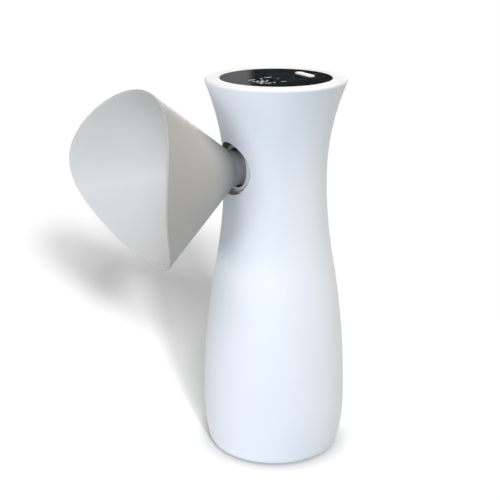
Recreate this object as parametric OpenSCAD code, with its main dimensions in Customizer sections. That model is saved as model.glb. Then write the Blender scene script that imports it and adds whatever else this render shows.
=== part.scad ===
// Hand-held digital spirometer: a waisted upright body with a display on its top
// and a face-fitting cone mouthpiece pushed into a port at the waist.
// Origin at the middle of the face that it stands on, +Z up, mouthpiece towards -X.

/* [Body] */
// Height of the body from the table to its top rim
height = 165; // [150:1:205]
// Diameter at the fullest part of the belly
belly_d = 62.4; // [58:0.2:78]
// Height of the fullest part of the belly
belly_z = 22; // [18:1:28]
// Diameter at the waist
waist_d = 43.7; // [42:0.1:54]
// Height of the waist
waist_z = 124.5; // [118:0.5:130]
// Diameter where the flared top meets the rim plane
mouth_d = 60.4; // [56:0.2:74]
// Share of the way up to the waist that the belly's side curve takes
belly_share = 0.635; // [0.5:0.005:0.75]
// Radius of the curve that draws the belly in to the foot
heel_arc = 80; // [60:1:120]
// Wall of the shell
wall = 2; // [1.6:0.1:2.4]
// Rounding of the bottom edge
foot_round = 4; // [2.5:0.1:6]
// Rounding of the top rim
rim_round = 1.1; // [0.6:0.1:3]

/* [Mouthpiece] */
// Height of the rim of the cone
cup_h = 72; // [60:1:86]
// Half angle of the cone
cup_angle = 37.5; // [32:0.5:42]
// Radius of the curved cut that the lips and cheeks rest on
face_r = 83.6; // [76:0.2:100]
// Wall of the cone where it meets the neck
cup_wall = 1.3; // [1:0.1:2]
// Wall of the cone at its rim
lip_wall = 0.8; // [0.6:0.1:1]
// Outer diameter of the neck
neck_d = 15.3; // [13.6:0.1:18]
// Wall of the neck
neck_wall = 1.5; // [1.2:0.1:2]
// Distance of the cone's start from the body's axis
cup_start = 22.8; // [22:0.2:30]
// Blend between the cone and the neck
neck_blend = 6; // [3:0.5:9]

/* [Port] */
// Height of the breath duct's axis
port_z = 129; // [126:0.5:132]
// Distance of the collar's face from the body's axis
collar_face = 19; // [18.6:0.1:20]
// Section of the sealing ring
seal_section = 1.8; // [1.4:0.1:2]
// Wall of the collar outside the ring
collar_wall = 1.3; // [1:0.1:1.6]

/* [Flow meter] */
// Bore of the measuring tube
duct_d = 14.4; // [13:0.1:14.6]
// Wall of the measuring tube round the neck's end
tube_wall = 2; // [1.6:0.1:2.4]
// Guide vanes in each swirler
vane_count = 6; // [4:1:8]
// Slant of the guide vanes
vane_angle = 35; // [20:1:45]
// Length of the spinning vane along the duct
rotor_len = 7.8; // [6:0.2:8.4]

/* [Display] */
// Diameter of the glass
glass_d = 46.9; // [44:0.1:48]
// Thickness of the glass
glass_t = 1.8; // [1.2:0.1:2.2]
// Length of the key
key_len = 12.8; // [12:0.2:18]
// Width of the key
key_w = 4; // [3.4:0.1:5]
// Distance of the key's middle from the edge of the glass
key_inset = 9.25; // [8.6:0.05:10]
// Travel of the key
key_travel = 0.5; // [0.3:0.05:0.6]

/* [Battery] */
// Diameter of the cell
cell_d = 18.4; // [17:0.1:22.2]
// Length of the cell over its terminals
cell_len = 65.2; // [50:0.2:80]

/* [Base] */
// Diameter of the opening under the body
base_d = 47.6; // [46:0.2:49]
// Height that the pad lifts the shell off the table
pad_proud = 0.5; // [0.3:0.1:1]

/* [Hidden] */
$fn = 96;

// Clearances and fits
cut = 1;
slip = 0.1;
press = 0.02;
joint_gap = 0.3;
screw_fit = 0.05;

// Radii of the body's curve, from its driving sizes
belly_r = belly_d / 2;
waist_r = waist_d / 2;
waist_in_r = waist_r - wall;
mouth_r = mouth_d / 2;
flare_rise = height - waist_z;
flare_out = mouth_r - waist_r;
flare_arc = (pow(flare_out, 2) + pow(flare_rise, 2)) / (2 * flare_out);
belly_rise = waist_z - belly_z;
belly_out = belly_r - waist_r;
arc_sum = (pow(belly_out, 2) + pow(belly_rise, 2)) / (2 * belly_out);
belly_arc = arc_sum * belly_share;
under_arc = arc_sum - belly_arc;
join_angle = asin(belly_rise / arc_sum);
skin_steps = 60;
corner_steps = 7;

// Bottom edge: an arc tangent to the table side of the shell and to the heel curve
foot_z = pad_proud + foot_round;
foot_r = belly_r - heel_arc
    + sqrt(pow(heel_arc - foot_round, 2) - pow(belly_z - foot_z, 2));
foot_angle = atan2(belly_z - foot_z, foot_r - belly_r + heel_arc);

// Top edge: an arc tangent to the rim plane and to the flare
rim_z = height - rim_round;
rim_r = waist_r + flare_arc
    - sqrt(pow(flare_arc + rim_round, 2) - pow(rim_z - waist_z, 2));
rim_angle = atan2(rim_z - waist_z, waist_r + flare_arc - rim_r);

// Top stack, downwards from the rim plane
glass_sink = 0.1;
gasket_t = 0.3;
seat_lip = 2.3;
seat_t = 2;
glass_gap = 0.15;
glass_edge = 0.25;
glass_top = height - glass_sink;
glass_z = glass_top - glass_t;
seat_z = glass_z - gasket_t;
seat_r = glass_d / 2 + glass_gap;
stack_r = seat_r - seat_lip;

// Display module and its carrier
module_t = 2.4;
module_x = -4;
module_len = 24;
module_w = 23;
module_gap = 0.2;
carrier_top = glass_z - module_gap - module_t;
carrier_t = 1.6;
carrier_r = stack_r - joint_gap * 2;
board_gap = 4.6;
board_t = 1.6;
board_top = carrier_top - carrier_t - board_gap;
board_z = board_top - board_t;
board_r = carrier_r - joint_gap;
chip_t = 1;
flex_t = 0.3;
ribbon_len = 12;
ribbon_x = module_x - module_len / 2 + chip_t;

// Places and sizes of the parts on top of the main board, as shares of its radius
chip_shares = [[-0.3, 0.02, 0.34], [-0.02, -0.5, 0.2], [-0.05, 0.5, 0.24]];

// Small screws: one size through the whole object
screw_r = 0.8;
screw_head_r = 1.5;
screw_head_h = 1.2;

// Screws that hold the display carrier and the board on the shell's bosses
stack_screw_turn = 60;
stack_boss_r = 2.6;
stack_boss_at = stack_r - stack_boss_r - 2 * screw_r;
stack_boss_len = 10.5;
stack_screw_len = 14;
rib_t = 1.8;

// Key
key_proud = 0.3;
key_gap = 0.2;
key_lip = 0.9;
key_lip_t = 0.8;
key_x = glass_d / 2 - key_inset;
key_stem_len = 10;
key_stem_w = 2.2;
switch_size = 6;
switch_h = 3.4;
plunger_r = 1.7;
plunger_h = 0.8;
plunger_sunk = 1.1;
plunger_top = board_top + switch_h + plunger_h;

// Breath duct, as distances from the body's axis towards the mouthpiece
collar_flange_t = 2;
collar_flange_w = 1.5;
collar_bore_r = neck_d / 2 + joint_gap;
collar_step_w = 0.45;
collar_step_h = 0.5;
seal_in_r = neck_d / 2 + slip / 2;
seal_at = 16.4;
seal_room = 0.15;
port_gap = 0.15;
collar_r = seal_in_r + seal_section + seal_room + collar_wall;
port_r = collar_r + port_gap;
collar_flange_r = port_r + collar_flange_w;
collar_seat = waist_reach(collar_flange_r) - slip;
collar_back = collar_seat - collar_flange_t;
port_boss_r = collar_flange_r + 2 * joint_gap;
neck_end = 9;
neck_stop = 8.6;
neck_r = neck_d / 2;
neck_bore_r = neck_r - neck_wall;

// Cone, with its tip behind the neck
cup_t = tan(cup_angle);
cup_tip = cup_start - neck_r / cup_t;
cup_in_tip = cup_tip + cup_wall / sin(cup_angle);
cup_lip_tip = cup_tip + lip_wall / sin(cup_angle);
cup_rim = cup_tip + cup_h / 2 / cup_t;
face_at = cup_rim + face_r;
face_a = 1 + pow(cup_t, 2);
face_b = face_at + pow(cup_t, 2) * cup_tip;
face_c = pow(face_at, 2) + pow(cup_t * cup_tip, 2) - pow(face_r, 2);
cup_side = (face_b - sqrt(pow(face_b, 2) - face_a * face_c)) / face_a;
cup_blank = cup_side + 2 * cup_wall;
blend_steps = 8;

// Measuring tube and what turns in it, as places along X
tube_flange_t = 2;
swirler_len = 4;
swirler_wall = 0.8;
hub_r = 1.7;
vane_t = 0.6;
rotor_x = 0.4;
rotor_t = 0.5;
rotor_r = 6.4;
rotor_hub_r = 0.9;
rotor_end_gap = 0.5;
axle_r = 0.33;
axle_run = 0.05;
axle_reach = 1.1;
bearing_r = 0.85;
bearing_len = 1.4;
front_x = rotor_x - rotor_len / 2 - rotor_end_gap - swirler_len;
rear_x = rotor_x + rotor_len / 2 + rotor_end_gap;
duct_r = duct_d / 2;
tube_r = collar_bore_r + tube_wall;
tube_back = waist_reach(tube_r) - 2 * slip;

// Optical pick-ups on the two sides of the tube
pad_len = 10;
pad_h = 8;
pad_y = tube_r + 0.5 * swirler_wall;
eye_r = 1.45;
eye_pitch = 3.6;
eye_short = 0.4;
eye_board_t = 1;
eye_board_h = 10;
eye_board_len = 11;
ribbon_w = 4;

// Exhaust side
grille_d = 2 * (tube_r - 2 * joint_gap);
grille_t = 2;
grille_rim = 1.3;
grille_bar = 1.1;
grille_bars = 5;
exhaust_boss_w = 2.4;
exhaust_boss_r = tube_r + exhaust_boss_w;

// Cradle that carries the duct on the ledge at the waist
ledge_z = 106;
ledge_t = 2;
ledge_w = 4;
cradle_gap = 0.35;
cradle_t = 2;
cradle_z = ledge_z + ledge_t;
saddle_t = 3;
saddle_front_x = -9.6;
saddle_rear_x = 8.2;
strap_t = 2;
ear_t = 2.5;
ear_w = 3.6;
saddle_w = 2 * (tube_r + strap_t + ear_w);
clamp_screw_len = 9;
cradle_screw_len = 3.6;
cradle_r = waist_in_r - cradle_gap;
cradle_screw_y = cradle_r - screw_head_r - slip;
lead_r = 0.6;
lead_gap = 2.4;

// Base
pad_t = 1.4;
cap_t = 2;
cap_gap = 0.2;
cap_z = pad_t;
cap_top = cap_z + cap_t;
lip_t = 2;
lip_w = 2.3;
cap_r = base_d / 2 - cap_gap;
lip_r = base_d / 2 - lip_w;
base_screw_count = 3;
base_boss_r = 3;
base_boss_len = 10;
base_screw_len = 8;
base_boss_at = lip_r - screw_head_r + cap_gap;
pad_r = cap_r - cap_gap;

// Battery holder, standing on the base
holder_gap = 0.3;
holder_wall = 1.7;
holder_end_t = 1.6;
holder_leg_r = 2.2;
holder_z = 17.6;
contact_t = 0.4;
contact_r = 6;
contact_w = 3;
spring_r = 3;
spring_h = 1;
nub_r = 2.8;
nub_h = 1;
holder_open_x = 2;
cell_r = cell_d / 2;
holder_in_r = cell_r + holder_gap;
holder_r = holder_in_r + holder_wall;
lead_y = max(pad_y + eye_board_t + lead_gap, holder_r + lead_r + holder_gap);
holder_leg_y = holder_r - holder_leg_r - holder_gap;
contact_z = holder_z + holder_end_t;
cell_z = contact_z + contact_t + spring_h;
cell_top = cell_z + cell_len;
holder_top = cell_top + contact_t;
holder_screw_len = 6;

// Charging board and socket
usb_z = 14;
usb_w = 8.9;
usb_h = 3.2;
usb_len = 7.4;
usb_skin = 0.3;
usb_sink = 0.7;
usb_gap = 0.35;
usb_tongue_w = 6.7;
usb_tongue_t = 0.7;
usb_back_t = 1.2;
charge_w = 12.8;
charge_back_x = -4;
charge_short = 3;
charge_t = 1.6;
charge_top = usb_z - usb_h / 2;
charge_z = charge_top - charge_t;
usb_face_x = skin_r(usb_z, 0) - usb_sink;
charge_front_x = usb_face_x - charge_short;
charge_post_r = 2.2;
charge_post_x = [3, 18];
charge_screw_len = 5;
charge_lead_x = holder_r + lead_r + holder_gap;
charge_lead_y = 4;

// Distance from the axis at which a disc of this radius meets the inside of the waist
function waist_reach(radius) = sqrt(pow(waist_in_r, 2) - pow(radius, 2));

// Radius of the body at height z, at a depth under its skin
function flare_fn(z, depth) = waist_r + flare_arc
    - sqrt(pow(flare_arc + depth, 2) - pow(z - waist_z, 2));
function under_fn(z, depth) = waist_r + under_arc
    - sqrt(pow(under_arc + depth, 2) - pow(z - waist_z, 2));
function belly_fn(z, depth) = belly_r - belly_arc
    + sqrt(pow(belly_arc - depth, 2) - pow(z - belly_z, 2));
function heel_fn(z, depth) = belly_r - heel_arc
    + sqrt(pow(heel_arc - depth, 2) - pow(z - belly_z, 2));
function join_z(depth) = belly_z + (belly_arc - depth) * sin(join_angle);
function skin_r(z, depth) =
    z > waist_z ? flare_fn(z, depth) :
    z > join_z(depth) ? under_fn(z, depth) :
    z > belly_z ? belly_fn(z, depth) : heel_fn(z, depth);

// Points along the skin between two heights, without its ends, and along a round corner
function skin_points(low, high, depth, steps) = [
    for (i = [1:steps - 1]) let (z = low + (high - low) * i / steps) [skin_r(z, depth), z]
];
function corner_points(middle, radius, from, to, steps) = [
    for (i = [0:steps])
        let (a = from + (to - from) * i / steps)
        [middle[0] + radius * cos(a), middle[1] + radius * sin(a)]
];

// Places of a ring of like things
module ring_of(count, radius, turn = 0) {
    for (i = [0:count - 1])
        rotate([0, 0, turn + 360 * i / count]) translate([radius, 0, 0]) children();
}

// Places of the four screws that hold the board and the carrier
module stack_places() {
    for (side = [-1, 1], end = [0, 180]) {
        rotate([0, 0, end + side * stack_screw_turn]) translate([stack_boss_at, 0, 0]) children();
    }
}

// Turns a shape so that its +Z runs out of the port, from the body's axis
module along_port() {
    translate([0, 0, port_z]) rotate([0, -90, 0]) children();
}

// Turns a shape so that its +Z runs along +X at the duct's height
module along_duct() {
    translate([0, 0, port_z]) rotate([0, 90, 0]) children();
}

// A tube with flat ends, standing on z = 0
module tube(outer, inner, length) {
    difference() {
        cylinder(r = outer, h = length);
        translate([0, 0, -cut]) cylinder(r = inner, h = length + 2 * cut);
    }
}

// An oblong with round ends, long side along Y
module oblong(length, width) {
    square([width, length - width], center = true);
    for (side = [-1, 1]) translate([0, side * (length - width) / 2]) circle(d = width);
}

// A pan-head screw, pointing down from the seat of its head at z = 0
module screw(length) {
    cylinder(r = screw_head_r, h = screw_head_h);
    translate([0, 0, -length]) cylinder(r = screw_r, h = length);
}

// The hole for such a screw, a little longer than its shank
module screw_hole(length) {
    translate([0, 0, -length - joint_gap]) cylinder(r = screw_r + screw_fit, h = length + joint_gap + cut);
}

// The body's form as one solid
module body_form() {
    rotate_extrude() polygon(concat(
        [[0, pad_proud]],
        corner_points([foot_r, foot_z], foot_round, -90, -foot_angle, corner_steps),
        skin_points(foot_z - foot_round * sin(foot_angle), rim_z - rim_round * sin(rim_angle), 0, skin_steps),
        corner_points([rim_r, rim_z], rim_round, -rim_angle, 90, corner_steps),
        [[0, height]]
    ));
}

// Room for the bosses and webs: half-way into the wall, and up to the seat of the glass
module boss_room() {
    depth = wall / 2;
    rotate_extrude() polygon(concat(
        [[0, pad_proud]],
        corner_points([foot_r, foot_z], foot_round - depth, -90, -foot_angle, corner_steps),
        skin_points(foot_z - foot_round * sin(foot_angle), seat_z, depth, skin_steps),
        [[0, seat_z]]
    ));
}

// Hollow of the shell between the base lip and the seat of the glass
module body_hollow() {
    low = cap_top + lip_t;
    high = seat_z - seat_t;
    rotate_extrude() polygon(concat(
        [[0, low], [skin_r(low, wall), low]],
        skin_points(low, high, wall, skin_steps / 2),
        [[skin_r(high, wall), high], [0, high]]
    ));
}

module shell_bosses() {
    // Bosses and webs under the board
    stack_places() {
        translate([0, 0, board_z - stack_boss_len]) cylinder(r = stack_boss_r, h = stack_boss_len);
        translate([0, -rib_t / 2, board_z - stack_boss_len])
            cube([mouth_r, rib_t, stack_boss_len - rib_t]);
    }
    // Bosses and webs over the base
    ring_of(base_screw_count, base_boss_at, 180) {
        translate([0, 0, cap_top]) cylinder(r = base_boss_r, h = base_boss_len);
        translate([0, -rib_t / 2, cap_top]) cube([belly_r, rib_t, base_boss_len - rib_t]);
    }
    // Ledge at the waist for the duct's cradle
    translate([0, 0, ledge_z]) tube(belly_r, waist_in_r - ledge_w + cradle_gap, ledge_t);
    // Seats for the collar and for the tube's far end
    along_port() translate([0, 0, collar_seat]) cylinder(r = port_boss_r, h = waist_r);
    along_duct() translate([0, 0, tube_back]) cylinder(r = exhaust_boss_r, h = waist_r);
}

module shell_screw_holes() {
    stack_places() translate([0, 0, board_z]) screw_hole(stack_screw_len - board_gap - board_t - carrier_t);
    ring_of(base_screw_count, base_boss_at, 180)
        translate([0, 0, cap_top]) mirror([0, 0, 1]) screw_hole(base_screw_len - cap_t + screw_head_h);
    for (side = [-1, 1]) translate([0, side * cradle_screw_y, cradle_z]) screw_hole(ledge_t);
}

module body_shell() color([0.93, 0.95, 0.98]) {
    difference() {
        union() {
            difference() {
                body_form();
                body_hollow();
            }
            intersection() {
                shell_bosses();
                boss_room();
            }
        }
        // Seat of the glass and the well under it
        translate([0, 0, seat_z]) cylinder(r = seat_r, h = height - seat_z + cut);
        translate([0, 0, seat_z - seat_t - cut]) cylinder(r = stack_r, h = seat_t + 2 * cut);
        // Opening under the body and the lip over it
        translate([0, 0, -cut]) cylinder(d = base_d, h = cap_top + cut);
        translate([0, 0, cap_top - cut]) cylinder(r = base_boss_at - base_boss_r, h = lip_t + 2 * cut);
        difference() {
            translate([0, 0, cap_top - cut]) cylinder(r = lip_r, h = lip_t + 2 * cut);
            ring_of(base_screw_count, base_boss_at, 180) cylinder(r = base_boss_r, h = height / 2);
        }
        // Port, exhaust and charging holes
        along_port() cylinder(r = port_r, h = belly_r);
        along_duct() cylinder(d = grille_d + 2 * slip, h = belly_r);
        translate([usb_face_x - usb_len, 0, usb_z]) rotate([0, 90, 0])
            linear_extrude(usb_len + belly_r) oblong(usb_w + 2 * usb_gap, usb_h + 2 * usb_gap);
        shell_screw_holes();
    }
}

module base_cap() color([0.86, 0.88, 0.9]) {
    difference() {
        union() {
            translate([0, 0, cap_z]) cylinder(r = cap_r, h = cap_t);
            for (x = charge_post_x)
                translate([x, 0, cap_z]) cylinder(r = charge_post_r, h = charge_z - cap_z);
        }
        // Screws through the cap, with their heads sunk in its underside
        ring_of(base_screw_count, base_boss_at, 180) cap_screw_hole();
        for (side = [-1, 1]) translate([0, side * holder_leg_y, 0]) cap_screw_hole();
        for (x = charge_post_x) translate([x, 0, charge_z]) screw_hole(charge_screw_len - charge_t);
    }
}

module cap_screw_hole() {
    translate([0, 0, cap_z - cut]) {
        cylinder(r = screw_r + screw_fit, h = cap_t + 2 * cut);
        cylinder(r = screw_head_r + slip, h = screw_head_h + slip + cut);
    }
}

// Screws driven up through the base, with their heads level with its underside
module base_screw(length) {
    translate([0, 0, cap_z + screw_head_h]) mirror([0, 0, 1]) screw(length);
}

module base_screws() color([0.7, 0.7, 0.72]) {
    ring_of(base_screw_count, base_boss_at, 180) base_screw(base_screw_len);
}

module foot_pad() color([0.3, 0.31, 0.33]) {
    cylinder(r = pad_r, h = pad_t);
}

// Face with two raised rings round the bore, and a flange behind the shell's boss
module port_collar() color([0.78, 0.8, 0.82]) {
    along_port() rotate_extrude() difference() {
        polygon([
            [collar_bore_r, collar_back],
            [collar_flange_r, collar_back],
            [collar_flange_r, collar_seat],
            [collar_r, collar_seat],
            [collar_r, collar_face - collar_step_h],
            [collar_r - collar_step_w, collar_face - collar_step_h],
            [collar_r - collar_step_w, collar_face],
            [collar_r - 2 * collar_step_w, collar_face],
            [collar_r - 2 * collar_step_w, collar_face - collar_step_h],
            [collar_r - 3 * collar_step_w, collar_face - collar_step_h],
            [collar_r - 3 * collar_step_w, collar_face],
            [collar_bore_r + collar_step_w, collar_face],
            [collar_bore_r, collar_face - collar_step_w]
        ]);
        translate([0, seal_at - seal_section / 2 - seal_room])
            square([seal_in_r + seal_section + seal_room, seal_section + 2 * seal_room]);
    }
}

module port_seal() color([0.16, 0.16, 0.17]) {
    along_port() translate([0, 0, seal_at]) rotate_extrude()
        translate([seal_in_r + seal_section / 2, 0]) circle(d = seal_section, $fn = 32);
}

// Cone and neck as one moulding, cut to the face by an upright round cut
module mouthpiece() color([0.83, 0.84, 0.85]) {
    blend_len = neck_blend * tan(cup_angle / 2);
    along_port() difference() {
        rotate_extrude() polygon(concat(
            [[neck_bore_r, neck_end], [neck_r, neck_end]],
            [for (i = [0:blend_steps]) let (a = cup_angle * i / blend_steps) [
                neck_r + neck_blend * (1 - cos(a)),
                cup_start - blend_len + neck_blend * sin(a)
            ]],
            [
                [(cup_blank - cup_tip) * cup_t, cup_blank],
                [(cup_blank - cup_lip_tip) * cup_t, cup_blank],
                [neck_bore_r, cup_in_tip + neck_bore_r / cup_t]
            ]
        ));
        translate([-cup_blank, 0, face_at]) rotate([0, 90, 0])
            cylinder(r = face_r, h = 2 * cup_blank, $fn = 192);
    }
}

module exhaust_grille() color([0.6, 0.62, 0.64]) {
    pitch = (grille_d - 2 * grille_rim) / (grille_bars + 1);
    along_duct() translate([0, 0, tube_back]) {
        tube(grille_d / 2, grille_d / 2 - grille_rim, grille_t);
        intersection() {
            cylinder(r = grille_d / 2 - grille_rim / 2, h = grille_t);
            union() {
                for (i = [1:grille_bars])
                    translate([-grille_d / 2, -grille_d / 2 + grille_rim + pitch * i - grille_bar / 2, 0])
                        cube([grille_d, grille_bar, grille_t]);
            }
        }
    }
}

module flow_tube() color([0.88, 0.9, 0.92, 0.9]) {
    difference() {
        union() {
            along_duct() translate([0, 0, -collar_back]) {
                cylinder(r = tube_r, h = tube_back + collar_back);
                cylinder(r = collar_flange_r, h = tube_flange_t);
            }
            translate([rotor_x - pad_len / 2, -pad_y, port_z - pad_h / 2])
                cube([pad_len, 2 * pad_y, pad_h]);
        }
        along_duct() translate([0, 0, -collar_back - cut]) {
            cylinder(r = duct_r, h = tube_back + collar_back + 2 * cut);
            cylinder(r = collar_bore_r, h = collar_back - neck_stop + cut);
        }
        for (x = [-1, 1])
            translate([rotor_x + x * eye_pitch / 2, 0, port_z]) rotate([90, 0, 0])
                cylinder(r = eye_r + slip, h = 4 * tube_r, center = true);
    }
}

// Ring, hub and slanting guide vanes, standing on z = 0 with the bearing's seat facing up
module swirler(slant) {
    tube(duct_r - press, duct_r - swirler_wall, swirler_len);
    difference() {
        union() {
            cylinder(r = hub_r, h = swirler_len);
            intersection() {
                tube(duct_r - swirler_wall / 2, hub_r / 2, swirler_len);
                ring_of(vane_count, 0) translate([0, 0, swirler_len / 2]) rotate([slant, 0, 0])
                    translate([0, -vane_t / 2, -swirler_len]) cube([duct_r, vane_t, 2 * swirler_len]);
            }
        }
        translate([0, 0, swirler_len - bearing_len]) cylinder(r = bearing_r + press, h = bearing_len + cut);
    }
}

module front_swirler() color([0.75, 0.78, 0.8]) {
    along_duct() translate([0, 0, front_x]) swirler(vane_angle);
}

module rear_swirler() color([0.75, 0.78, 0.8]) {
    along_duct() translate([0, 0, rear_x + swirler_len]) mirror([0, 0, 1]) swirler(vane_angle);
}

// A cup bearing, open upwards, its mouth level with z = 0
module bearing() {
    translate([0, 0, -bearing_len]) difference() {
        cylinder(r = bearing_r, h = bearing_len);
        translate([0, 0, bearing_len - axle_reach - axle_run])
            cylinder(r = axle_r + axle_run, h = axle_reach + axle_run + cut);
    }
}

module front_bearing() color([0.6, 0.1, 0.2]) {
    along_duct() translate([0, 0, front_x + swirler_len]) bearing();
}

module rear_bearing() color([0.6, 0.1, 0.2]) {
    along_duct() translate([0, 0, rear_x]) mirror([0, 0, 1]) bearing();
}

module rotor_vane() color([0.1, 0.1, 0.11]) {
    along_duct() translate([0, 0, rotor_x - rotor_len / 2]) difference() {
        union() {
            cylinder(r = rotor_hub_r, h = rotor_len);
            translate([-rotor_r, -rotor_t / 2, 0]) cube([2 * rotor_r, rotor_t, rotor_len]);
        }
        translate([0, 0, -cut]) cylinder(r = axle_r + press, h = rotor_len + 2 * cut);
    }
}

module rotor_axle() color([0.75, 0.76, 0.78]) {
    reach = rotor_len / 2 + rotor_end_gap + axle_reach;
    along_duct() translate([0, 0, rotor_x - reach]) cylinder(r = axle_r, h = 2 * reach);
}

// Board, and the two pick-ups that reach from it into the tube's wall
module eye_board(side) {
    translate([rotor_x - eye_board_len / 2, side * (pad_y + eye_board_t / 2) - eye_board_t / 2,
        port_z - eye_board_h / 2]) cube([eye_board_len, eye_board_t, eye_board_h]);
}

module eyes(side) {
    length = pad_y - duct_r - eye_short;
    for (x = [-1, 1])
        translate([rotor_x + x * eye_pitch / 2, side * (pad_y - length / 2), port_z]) rotate([90, 0, 0])
            cylinder(r = eye_r, h = length, center = true);
}

module emitter_board() color([0.1, 0.35, 0.2]) eye_board(1);

module receiver_board() color([0.1, 0.35, 0.2]) eye_board(-1);

module ir_emitters() color([0.75, 0.75, 0.9]) eyes(1);

module ir_receivers() color([0.12, 0.12, 0.14]) eyes(-1);

module sensor_ribbons() color([0.75, 0.5, 0.2]) {
    for (side = [-1, 1])
        translate([rotor_x - ribbon_w / 2, side * (pad_y + eye_board_t + flex_t / 2) - flex_t / 2, port_z])
            cube([ribbon_w, flex_t, board_z - port_z - chip_t]);
}

// Upright plate with a half-round seat for the tube
module saddle(x) {
    translate([x, -saddle_w / 2, cradle_z]) difference() {
        cube([saddle_t, saddle_w, port_z - cradle_z]);
        for (side = [-1, 1])
            translate([saddle_t / 2, saddle_w / 2 + side * (saddle_w - ear_w) / 2, port_z - cradle_z])
                screw_hole(clamp_screw_len - ear_t);
    }
}

module duct_cradle() color([0.25, 0.26, 0.28]) {
    difference() {
        union() {
            translate([0, 0, cradle_z]) cylinder(r = cradle_r, h = cradle_t);
            intersection() {
                union() {
                    saddle(saddle_front_x);
                    saddle(saddle_rear_x);
                }
                translate([0, 0, cradle_z]) cylinder(r = cradle_r, h = port_z);
            }
        }
        along_duct() cylinder(r = tube_r + press, h = 2 * saddle_w, center = true);
        for (side = [-1, 1]) {
            translate([0, side * lead_y, cradle_z - cut])
                cylinder(r = lead_r + slip, h = cradle_t + 2 * cut);
            translate([0, side * cradle_screw_y, cradle_z + cradle_t]) screw_hole(cradle_t + cut);
        }
    }
}

module duct_clamps() color([0.25, 0.26, 0.28]) {
    for (x = [saddle_front_x, saddle_rear_x]) difference() {
        union() {
            translate([x, 0, port_z]) rotate([0, 90, 0]) cylinder(r = tube_r + strap_t, h = saddle_t);
            intersection() {
                translate([x, -saddle_w / 2, port_z]) cube([saddle_t, saddle_w, ear_t]);
                translate([0, 0, port_z]) cylinder(r = cradle_r, h = port_z);
            }
        }
        translate([x - cut, -saddle_w, port_z - saddle_w])
            cube([saddle_t + 2 * cut, 2 * saddle_w, saddle_w]);
        along_duct() cylinder(r = tube_r + press, h = 2 * saddle_w, center = true);
        for (side = [-1, 1])
            translate([x + saddle_t / 2, side * (saddle_w - ear_w) / 2, port_z + ear_t])
                screw_hole(ear_t + cut);
    }
}

module clamp_screws() color([0.7, 0.7, 0.72]) {
    for (x = [saddle_front_x, saddle_rear_x], side = [-1, 1])
        translate([x + saddle_t / 2, side * (saddle_w - ear_w) / 2, port_z + ear_t]) screw(clamp_screw_len);
}

module cradle_screws() color([0.7, 0.7, 0.72]) {
    for (side = [-1, 1]) translate([0, side * cradle_screw_y, cradle_z + cradle_t]) screw(cradle_screw_len);
}

module battery_cell() color([0.25, 0.45, 0.6]) {
    translate([0, 0, cell_z]) {
        cylinder(r = cell_r, h = cell_len - nub_h);
        cylinder(r = nub_r, h = cell_len);
    }
}

// Trough that is open towards the charging side, with an end wall at each end and two legs
module battery_cradle() color([0.25, 0.26, 0.28]) {
    difference() {
        union() {
            translate([0, 0, holder_z]) cylinder(r = holder_r, h = holder_top + holder_end_t - holder_z);
            for (side = [-1, 1]) translate([0, side * holder_leg_y, cap_top])
                cylinder(r = holder_leg_r, h = holder_z - cap_top);
        }
        translate([0, 0, contact_z]) cylinder(r = holder_in_r, h = holder_top - contact_z);
        translate([holder_open_x, -holder_r - cut, contact_z])
            cube([holder_r, 2 * (holder_r + cut), holder_top - contact_z]);
        // Slots for the contacts' tabs
        translate([-contact_w / 2 - slip, 0, holder_top - contact_t - slip])
            cube([contact_w + 2 * slip, holder_r + cut, contact_t + slip]);
        translate([-contact_w / 2 - slip, -holder_r - cut, contact_z])
            cube([contact_w + 2 * slip, holder_r + cut, contact_t + slip]);
        for (side = [-1, 1]) translate([0, side * holder_leg_y, cap_top]) mirror([0, 0, 1])
            screw_hole(holder_screw_len - cap_t + screw_head_h);
    }
}

// Contact disc with one tab to the side for the main lead and one to the front for the charging lead
module contact_plate(side) {
    cylinder(r = contact_r, h = contact_t);
    translate([-contact_w / 2, min(0, side * (lead_y + lead_r)), 0])
        cube([contact_w, lead_y + lead_r, contact_t]);
    translate([0, side * charge_lead_y - contact_w / 2, 0])
        cube([charge_lead_x + lead_r, contact_w, contact_t]);
}

module positive_contact() color([0.8, 0.78, 0.7]) {
    translate([0, 0, cell_top]) contact_plate(1);
}

module negative_contact() color([0.8, 0.78, 0.7]) {
    translate([0, 0, contact_z]) {
        contact_plate(-1);
        translate([0, 0, contact_t]) cylinder(r = spring_r, h = spring_h);
    }
}

module battery_leads() color([0.75, 0.1, 0.1]) {
    translate([0, lead_y, cell_top + contact_t]) cylinder(r = lead_r, h = board_z - cell_top - contact_t);
    translate([0, -lead_y, contact_z + contact_t])
        cylinder(r = lead_r, h = board_z - contact_z - contact_t);
}

module charge_leads() color([0.15, 0.15, 0.15]) {
    translate([charge_lead_x, charge_lead_y, charge_top]) cylinder(r = lead_r, h = cell_top - charge_top);
    translate([charge_lead_x, -charge_lead_y, charge_top]) cylinder(r = lead_r, h = contact_z - charge_top);
}

module holder_screws() color([0.7, 0.7, 0.72]) {
    for (side = [-1, 1]) translate([0, side * holder_leg_y, 0]) base_screw(holder_screw_len);
}

module charge_board() color([0.1, 0.35, 0.2]) {
    difference() {
        translate([charge_back_x, -charge_w / 2, charge_z])
            cube([charge_front_x - charge_back_x, charge_w, charge_t]);
        for (x = charge_post_x) translate([x, 0, charge_top]) screw_hole(charge_t + cut);
    }
}

module usb_socket() color([0.72, 0.73, 0.75]) {
    translate([usb_face_x - usb_len, 0, usb_z]) rotate([0, 90, 0]) {
        difference() {
            linear_extrude(usb_len) oblong(usb_w, usb_h);
            translate([0, 0, usb_back_t])
                linear_extrude(usb_len) oblong(usb_w - 2 * usb_skin, usb_h - 2 * usb_skin);
        }
        translate([-usb_tongue_t / 2, -usb_tongue_w / 2, 0])
            cube([usb_tongue_t, usb_tongue_w, usb_len - usb_back_t / 2]);
    }
}

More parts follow.
